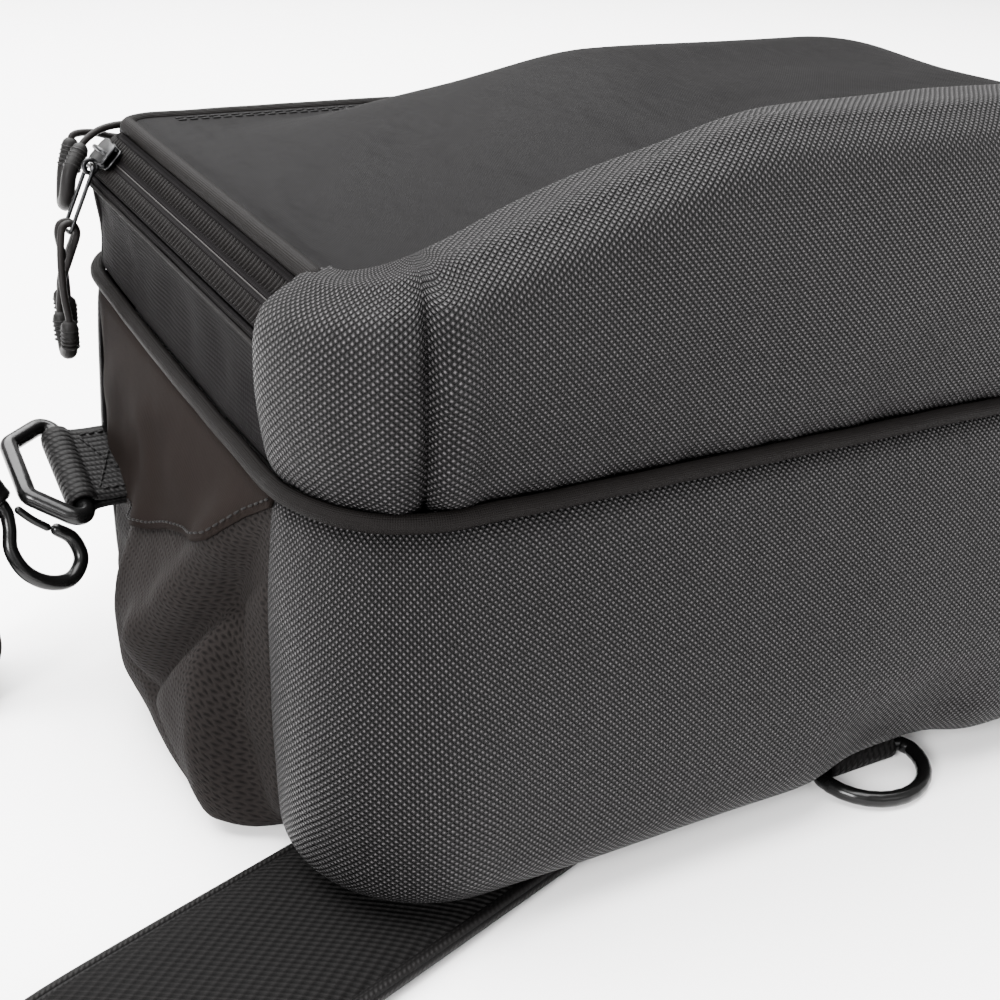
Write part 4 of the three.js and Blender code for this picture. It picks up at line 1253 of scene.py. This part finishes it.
strap_mid = strap_at(STRAP_LENGTH / 2, 0)
strap_pad = padded_block("strap_pad_cushion", STRAP_LENGTH + 1, STRAP_PAD_WIDE, 0.1, 7.6, strap_mid[:2],
                         "mesh", tilt=STRAP_ANGLE, stands_for=["strap_pad"])


def pad_binding():
    around = []
    for x, y in soft_outline(STRAP_LENGTH / 2 - 0.5, STRAP_PAD_WIDE / 2 - 0.9, 240):
        p = np.array(strap_mid) + STRAP_DIR * x + STRAP_ACROSS * y
        around.append((p[0], p[1], 3.9))
    line = even(np.array([*around, around[0]]), 241)[:-1]
    tube("strap_pad_binding", line, 2.3, "webbing", "root", 10, closed=True)


pad_binding()

# ---------------------------------------------------------------- strap tabs, rings, hooks
TAB_Y, TAB_Z, TAB_TIP, TAB_WIDE, BAR_OUT = 66.0, 67.0, math.radians(20), 33.0, 18.0
WIRE_R, RING_R = 2.3, 2.8


def at_tab(side, o, f, u):
    c, s = math.cos(TAB_TIP), math.sin(TAB_TIP)
    return np.array([side * (HALF_X + o), TAB_Y + f * c - u * s, TAB_Z + f * s + u * c])


def rounded(corners, radius, steps=8):
    out = []
    count = len(corners)
    for i, p in enumerate(corners):
        p = np.array(p, float)
        u, v = unit(corners[i - 1] - p), unit(corners[(i + 1) % count] - p)
        half_angle = math.acos(np.clip(u.dot(v), -1, 1)) / 2
        back = radius / math.tan(half_angle)
        centre = p + unit(u + v) * radius / math.sin(half_angle)
        a, b, turn = p + u * back - centre, p + v * back - centre, math.pi - 2 * half_angle
        for t in np.linspace(0, 1, steps + 1):
            out.append(centre + (a * math.sin((1 - t) * turn) + b * math.sin(t * turn)) / math.sin(turn))
    return np.array(out)


def dense(path, count=120):
    """Evenly spaced points round a closed path."""
    return even(np.concatenate([path, path[:1]]), count + 1)[:-1]


def strap_hardware(side, label):
    lift = math.radians(14)
    shape = [(0, -25), (0, 25), (16, 12), (16, -12)]
    corners = [at_tab(side, BAR_OUT + o * math.cos(lift), f, o * math.sin(lift)) for o, f in shape]
    tube(f"{label}_ring_moulding", dense(rounded(corners, 3.4)), RING_R, "plastic", f"{label}_strap_ring", 16,
         closed=True, stands_for=[f"{label}_ring"])
    bow = [(0.5, 0), (3, -0.4), (7, -2.6), (12, -6.5), (20, -7.5), (27, -4), (30.5, 2), (28, 8.5),
           (21.5, 10.5), (16.5, 8.5)]
    line = spline([at_hook(side, a, b) for a, b in bow], 60)
    radii = np.interp(np.linspace(0, 1, 60), [0, 0.1, 0.3, 0.6, 0.9, 1], [2.3, 2.1, 2.2, 2.4, 2.2, 2.0])
    tube(f"{label}_hook_moulding", line, radii, "plastic", f"{label}_snap_hook", 16,
         stands_for=[f"{label}_hook"])
    gate = spline([at_hook(side, a, b) for a, b in ((4.6, 3.2), (9.5, 4.6), (14, 6.6))], 16)
    tube(f"{label}_gate_moulding", gate, 1.25, "plastic", f"{label}_hook_gate", 12,
         stands_for=[f"{label}_gate"])
    barrel = [(-11.3, 3.6), (-10.8, 4.4), (-9, 4.6), (-7.4, 4.0), (-6.8, 4.6), (-3.2, 4.6), (-1.2, 4.5),
              (-0.5, 3.7)]
    axis = spline([[*at_hook(side, a, 0), r] for a, r in barrel], 40)
    tube(f"{label}_swivel_barrel", axis[:, :3], axis[:, 3], "plastic", "root", 20, round_ends=False,
         stands_for=[f"{label}_swivel"])
    eye = WEB / 2 + 2.6
    across = [(-11, -5), (-11, 5), (-18, eye), (-27, eye), (-27, -eye), (-18, -eye)]
    loop = np.array([at_hook(side, a, 0) + eye_axis(side) * w for a, w in across])
    tube(f"{label}_swivel_eye", dense(rounded(loop, 3), count=150), 2.0, "plastic", "root", 14, closed=True)


for hardware_side, hardware_label in ((-1, "left"), (1, "right")):
    strap_hardware(hardware_side, hardware_label)


def strap_tab(side, label):
    inside, web = RING_R + 0.5, 1.6
    loop = [(-9, 1.35), (4, 1.4), (10, 1.45)]
    r = inside + web / 2
    for a in np.linspace(150, -150, 25):
        angle = math.radians(a)
        loop.append((BAR_OUT + r * math.cos(angle), r * math.sin(angle)))
    loop += [(10, -1.45), (4, -1.4), (-9, -1.35)]
    fold_dir = at_tab(side, 0, 1, 0) - at_tab(side, 0, 0, 0)
    stops = [(at_tab(side, o, 0, u), fold_dir) for o, u in loop]
    ribbon(f"{label}_tab_webbing", stops, TAB_WIDE, web, "webbing", "root", 90, [f"{label}_tab"])
    for k, f in enumerate((-13.0, 13.0)):
        line = [at_tab(side, o, f, 2.45) for o in np.linspace(1, 12, 20)]
        stitches(f"{label}_tab_stitches_{k}", line, "thread", "root", 1.8, 0.8, 0.35)
    for name, start, end in (("a", 1, 12), ("b", 12, 1)):
        cross = [at_tab(side, start + (end - start) * t, -12 + 24 * t, 2.45) for t in np.linspace(0, 1, 20)]
        stitches(f"{label}_tab_cross_{name}", cross, "thread", "root", 1.8, 0.8, 0.35)


strap_tab(-1, "left")
strap_tab(1, "right")


def carried(node, look, bevel):
    """A CAD solid that is shown as it is, with its finish and softened edges."""
    piece = frame["nodes"][node]
    piece.data.materials.clear()
    piece.data.materials.append(MAT[look])
    soft = piece.modifiers.new("soft_edges", "BEVEL")
    soft.width = bevel / 1000
    soft.segments = 3
    soft.limit_method = "ANGLE"
    soft.angle_limit = math.radians(40)


carried("strap_adjuster", "plastic", 0.6)

# ---------------------------------------------------------------- accessory ring
DEE_Y, DEE_Z, DEE_HALF, DEE_DROP, DEE_REACH = -98.0, 4.0, 17.0, -1.6, 20.2


def dee_line():
    straight = DEE_REACH - DEE_HALF
    flat = [(-DEE_HALF + 4, 0), (-6, 0), (6, 0), (DEE_HALF - 4, 0), (DEE_HALF - 1.2, 1.2)]
    for a in np.linspace(0, math.pi, 15):
        flat.append((DEE_HALF * math.cos(a), straight + 1 + (DEE_HALF - 1) * math.sin(a)))
    flat.append((-DEE_HALF + 1.2, 1.2))
    return np.array([(x, DEE_Y - out, DEE_Z + DEE_DROP * out / DEE_REACH) for x, out in flat])


tube("base_dee_ring_moulding", dense(dee_line()), WIRE_R, "plastic", "dee_ring", 16, closed=True,
     stands_for=["base_dee_ring"])
dee_loop = [((0, DEE_Y + 24, 7.0), (1, 0, 0)), ((0, DEE_Y + 9, 7.0), (1, 0, 0))]
for degrees in np.linspace(50, 310, 22):
    turned = math.radians(degrees)
    dee_loop.append(((0, DEE_Y + 3.3 * math.cos(turned), DEE_Z + 3.3 * math.sin(turned)), (1, 0, 0)))
dee_loop += [((0, DEE_Y + 9, 4.2), (1, 0, 0)), ((0, DEE_Y + 24, 5.1), (1, 0, 0))]
ribbon("base_dee_webbing", dee_loop, 24, 1.1, "webbing", "root", 70, ["base_dee_tab"])

# ---------------------------------------------------------------- zip sliders and wire pull ring
def plate(outline, low, high, place, bevel=0.3):
    """A flat cast plate with eased edges, as vertices and faces."""
    outline = np.array(outline, float)
    count = len(outline)
    vertices = []
    for level, inset in ((low, bevel), (low + bevel, 0), (high - bevel, 0), (high, bevel)):
        for p in outline * (1 - inset / 4.0):
            vertices.append(place(p[0], p[1], level))
    faces = [tuple(reversed(range(count))), tuple(3 * count + i for i in range(count))]
    for ring in range(3):
        for i in range(count):
            j = (i + 1) % count
            faces.append((ring * count + i, ring * count + j, (ring + 1) * count + j, (ring + 1) * count + i))
    return vertices, faces


SLIDER_OUTLINE = ((-6.3, -2.4), (-5.2, -3.5), (-1, -3.8), (3, -4.4), (5.6, -4.1), (6.5, -2.6),
                  (6.5, 2.6), (5.6, 4.1), (3, 4.4), (-1, 3.8), (-5.2, 3.5), (-6.3, 2.4))


def slider_piece(label, body, place, lug, lug_radius, lug_across):
    """A cast slider: two plates joined by flanges, with a raised bridge and a ring for its pull."""
    vertices, faces = [], []
    flanges = [((-5, e * 3.4), (5, e * 4.1), (5, e * 2.9), (-5, e * 2.4)) for e in (-1, 1)]
    for outline, low, high in ((SLIDER_OUTLINE, 0.5, 1.6), (SLIDER_OUTLINE, -1.6, -0.7),
                               (flanges[0], -1.2, 1.0), (flanges[1], -1.2, 1.0)):
        more, more_faces = plate(outline, low, high, place)
        faces += [tuple(i + len(vertices) for i in f) for f in more_faces]
        vertices += more
    casting = make(f"{label}_casting", vertices, faces, "metal", body, stands_for=[label])
    fix_normals(casting)
    bridge = ((-4.6, 0, 1.2), (-3.6, 0, 2.7), (0, 0, 3.3), (3.6, 0, 2.7), (4.6, 0, 1.2))
    bridge = spline([place(*p) for p in bridge], 24)
    tube(f"{label}_bridge", bridge, 0.75, "metal", body, 10)
    turns = np.linspace(0, 2 * math.pi, 29)[:-1]
    eye = np.array([place(*(np.array(lug) + lug_across(lug_radius * math.cos(a), lug_radius * math.sin(a))))
                    for a in turns])
    tube(f"{label}_eye", eye, 0.72, "metal", body, 10, closed=True)


def zip_frame(station, along):
    """A slider's own axes: along the zip, up its slope and out of it."""
    out = np.array([station[2], station[3], 0.0])
    up, normal = unit(np.array([0, 0, 1.0]) - out), unit(np.array([0, 0, 1.0]) + out)
    origin = at(station, -4.65, RIM_Z + 1.6 + float(rise(station[1])) + 4.65) + normal * 2.6
    return lambda a, b, c: origin + np.array(along, float) * a + up * b + normal * c


side_frame = zip_frame((-HALF_X, 70.0, -1.0, 0.0), (0, 1, 0))
top_frame = zip_frame((-138.0, HALF_Y, 0.0, 1.0), (-1, 0, 0))
slider_piece("slider_side", "side_slider", side_frame, (0, -5.4, 1.2), 1.9, lambda u, v: np.array([0, u, v]))
slider_piece("slider_top", "flap", top_frame, (8.7, 0, 1), 2.6, lambda u, v: np.array([u, 0, v]))
ring_tip = math.radians(25)
ring_down = np.array([-math.sin(ring_tip), 0.0, -math.cos(ring_tip)])
ring_corners = np.array([side_pivot + np.array([0, y * 3.6, 0]) + ring_down * 20 * down
                         for y, down in ((-1, 0), (1, 0), (1, 1), (-1, 1))])
tube("pull_ring_wire", dense(rounded(ring_corners, 1.4)), 0.62, "metal", "pull_ring", 12, closed=True,
     stands_for=["pull_ring_side"])

# ---------------------------------------------------------------- padded insert
def block(name, low, high, look, body, stands_for, round_by):
    """An upright foam board with flat faces and rounded edges."""
    low, high = np.array(low, float), np.array(high, float)
    middle, half_size = (low + high) / 2, (high - low) / 2
    count = 14
    vertices, faces = [], []
    index = {}
    for i in range(count + 1):
        for j in range(count + 1):
            for k in range(count + 1):
                if not (i in (0, count) or j in (0, count) or k in (0, count)):
                    continue
                t = np.array([i, j, k]) * 2.0 / count - 1
                t = np.sign(t) * np.abs(t) ** 0.7
                p = t * half_size
                core = np.clip(p, -(half_size - round_by), half_size - round_by)
                away = p - core
                reach = np.linalg.norm(away)
                if reach > 1e-9:
                    p = core + away / reach * min(round_by, reach)
                index[(i, j, k)] = len(vertices)
                vertices.append(middle + p)
    for axis in range(3):
        for end in (0, count):
            for a in range(count):
                for b in range(count):
                    quad = []
                    for da, db in ((0, 0), (1, 0), (1, 1), (0, 1)):
                        key = [0, 0, 0]
                        key[axis] = end
                        key[(axis + 1) % 3] = a + da
                        key[(axis + 2) % 3] = b + db
                        quad.append(index[tuple(key)])
                    faces.append(tuple(quad if end else reversed(quad)))
    uvs = [(vertices[v][0] + vertices[v][1], vertices[v][2]) for f in faces for v in f]
    piece = make(name, vertices, faces, look, body, uvs, stands_for)
    fix_normals(piece)
    return piece


def mm_box(node):
    low, high = (np.array(corner) * 1000 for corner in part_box(node))
    low[1] += ROW_SHIFT_Y
    high[1] += ROW_SHIFT_Y
    return low, high


BOARDS = {
    "liner_floor": "root", "liner_wall_base": "root", "liner_wall_top": "root", "liner_wall_left": "root",
    "liner_wall_right": "root", "divider_left": "left_divider", "divider_right": "right_divider",
    "divider_cross": "right_divider",
}
for node, body in BOARDS.items():
    edge = 3.6 if node.startswith("divider") else 3.0
    lows, highs = mm_box(node)
    pad_piece = block(f"{node}_foam", lows, highs, "lining", body, [node], edge)

# ---------------------------------------------------------------- studio
bpy.ops.mesh.primitive_plane_add(size=8, location=(0, 0, -0.0004))
floor = bpy.context.object
floor.name = "floor"
floor.data.materials.append(MAT["floor"])

world = bpy.data.worlds.new("studio")
world.use_nodes = True
backdrop = world.node_tree.nodes["Background"].inputs
backdrop["Color"].default_value = (1.0, 0.99, 0.985, 1)
backdrop["Strength"].default_value = 1.25
bpy.context.scene.world = world


def soft_light(name, place, aim, size, power):
    data = bpy.data.lights.new(name, "AREA")
    data.shape = "RECTANGLE"
    data.size, data.size_y = size
    data.energy = power
    light = bpy.data.objects.new(name, data)
    bpy.context.scene.collection.objects.link(light)
    light.location = place
    light.rotation_euler = (Vector(aim) - Vector(place)).to_track_quat("-Z", "Y").to_euler()


soft_light("overhead", (-0.2, 0.7, 2.3), (0.1, 0.2, 0), (3.4, 3.4), 760)
soft_light("left", (-1.3, -0.9, 0.75), (-0.12, -0.12, 0.09), (0.45, 0.45), 60)
soft_light("front", (0.3, -1.8, 1.1), (0.0, -0.1, 0.1), (1.4, 0.6), 10)
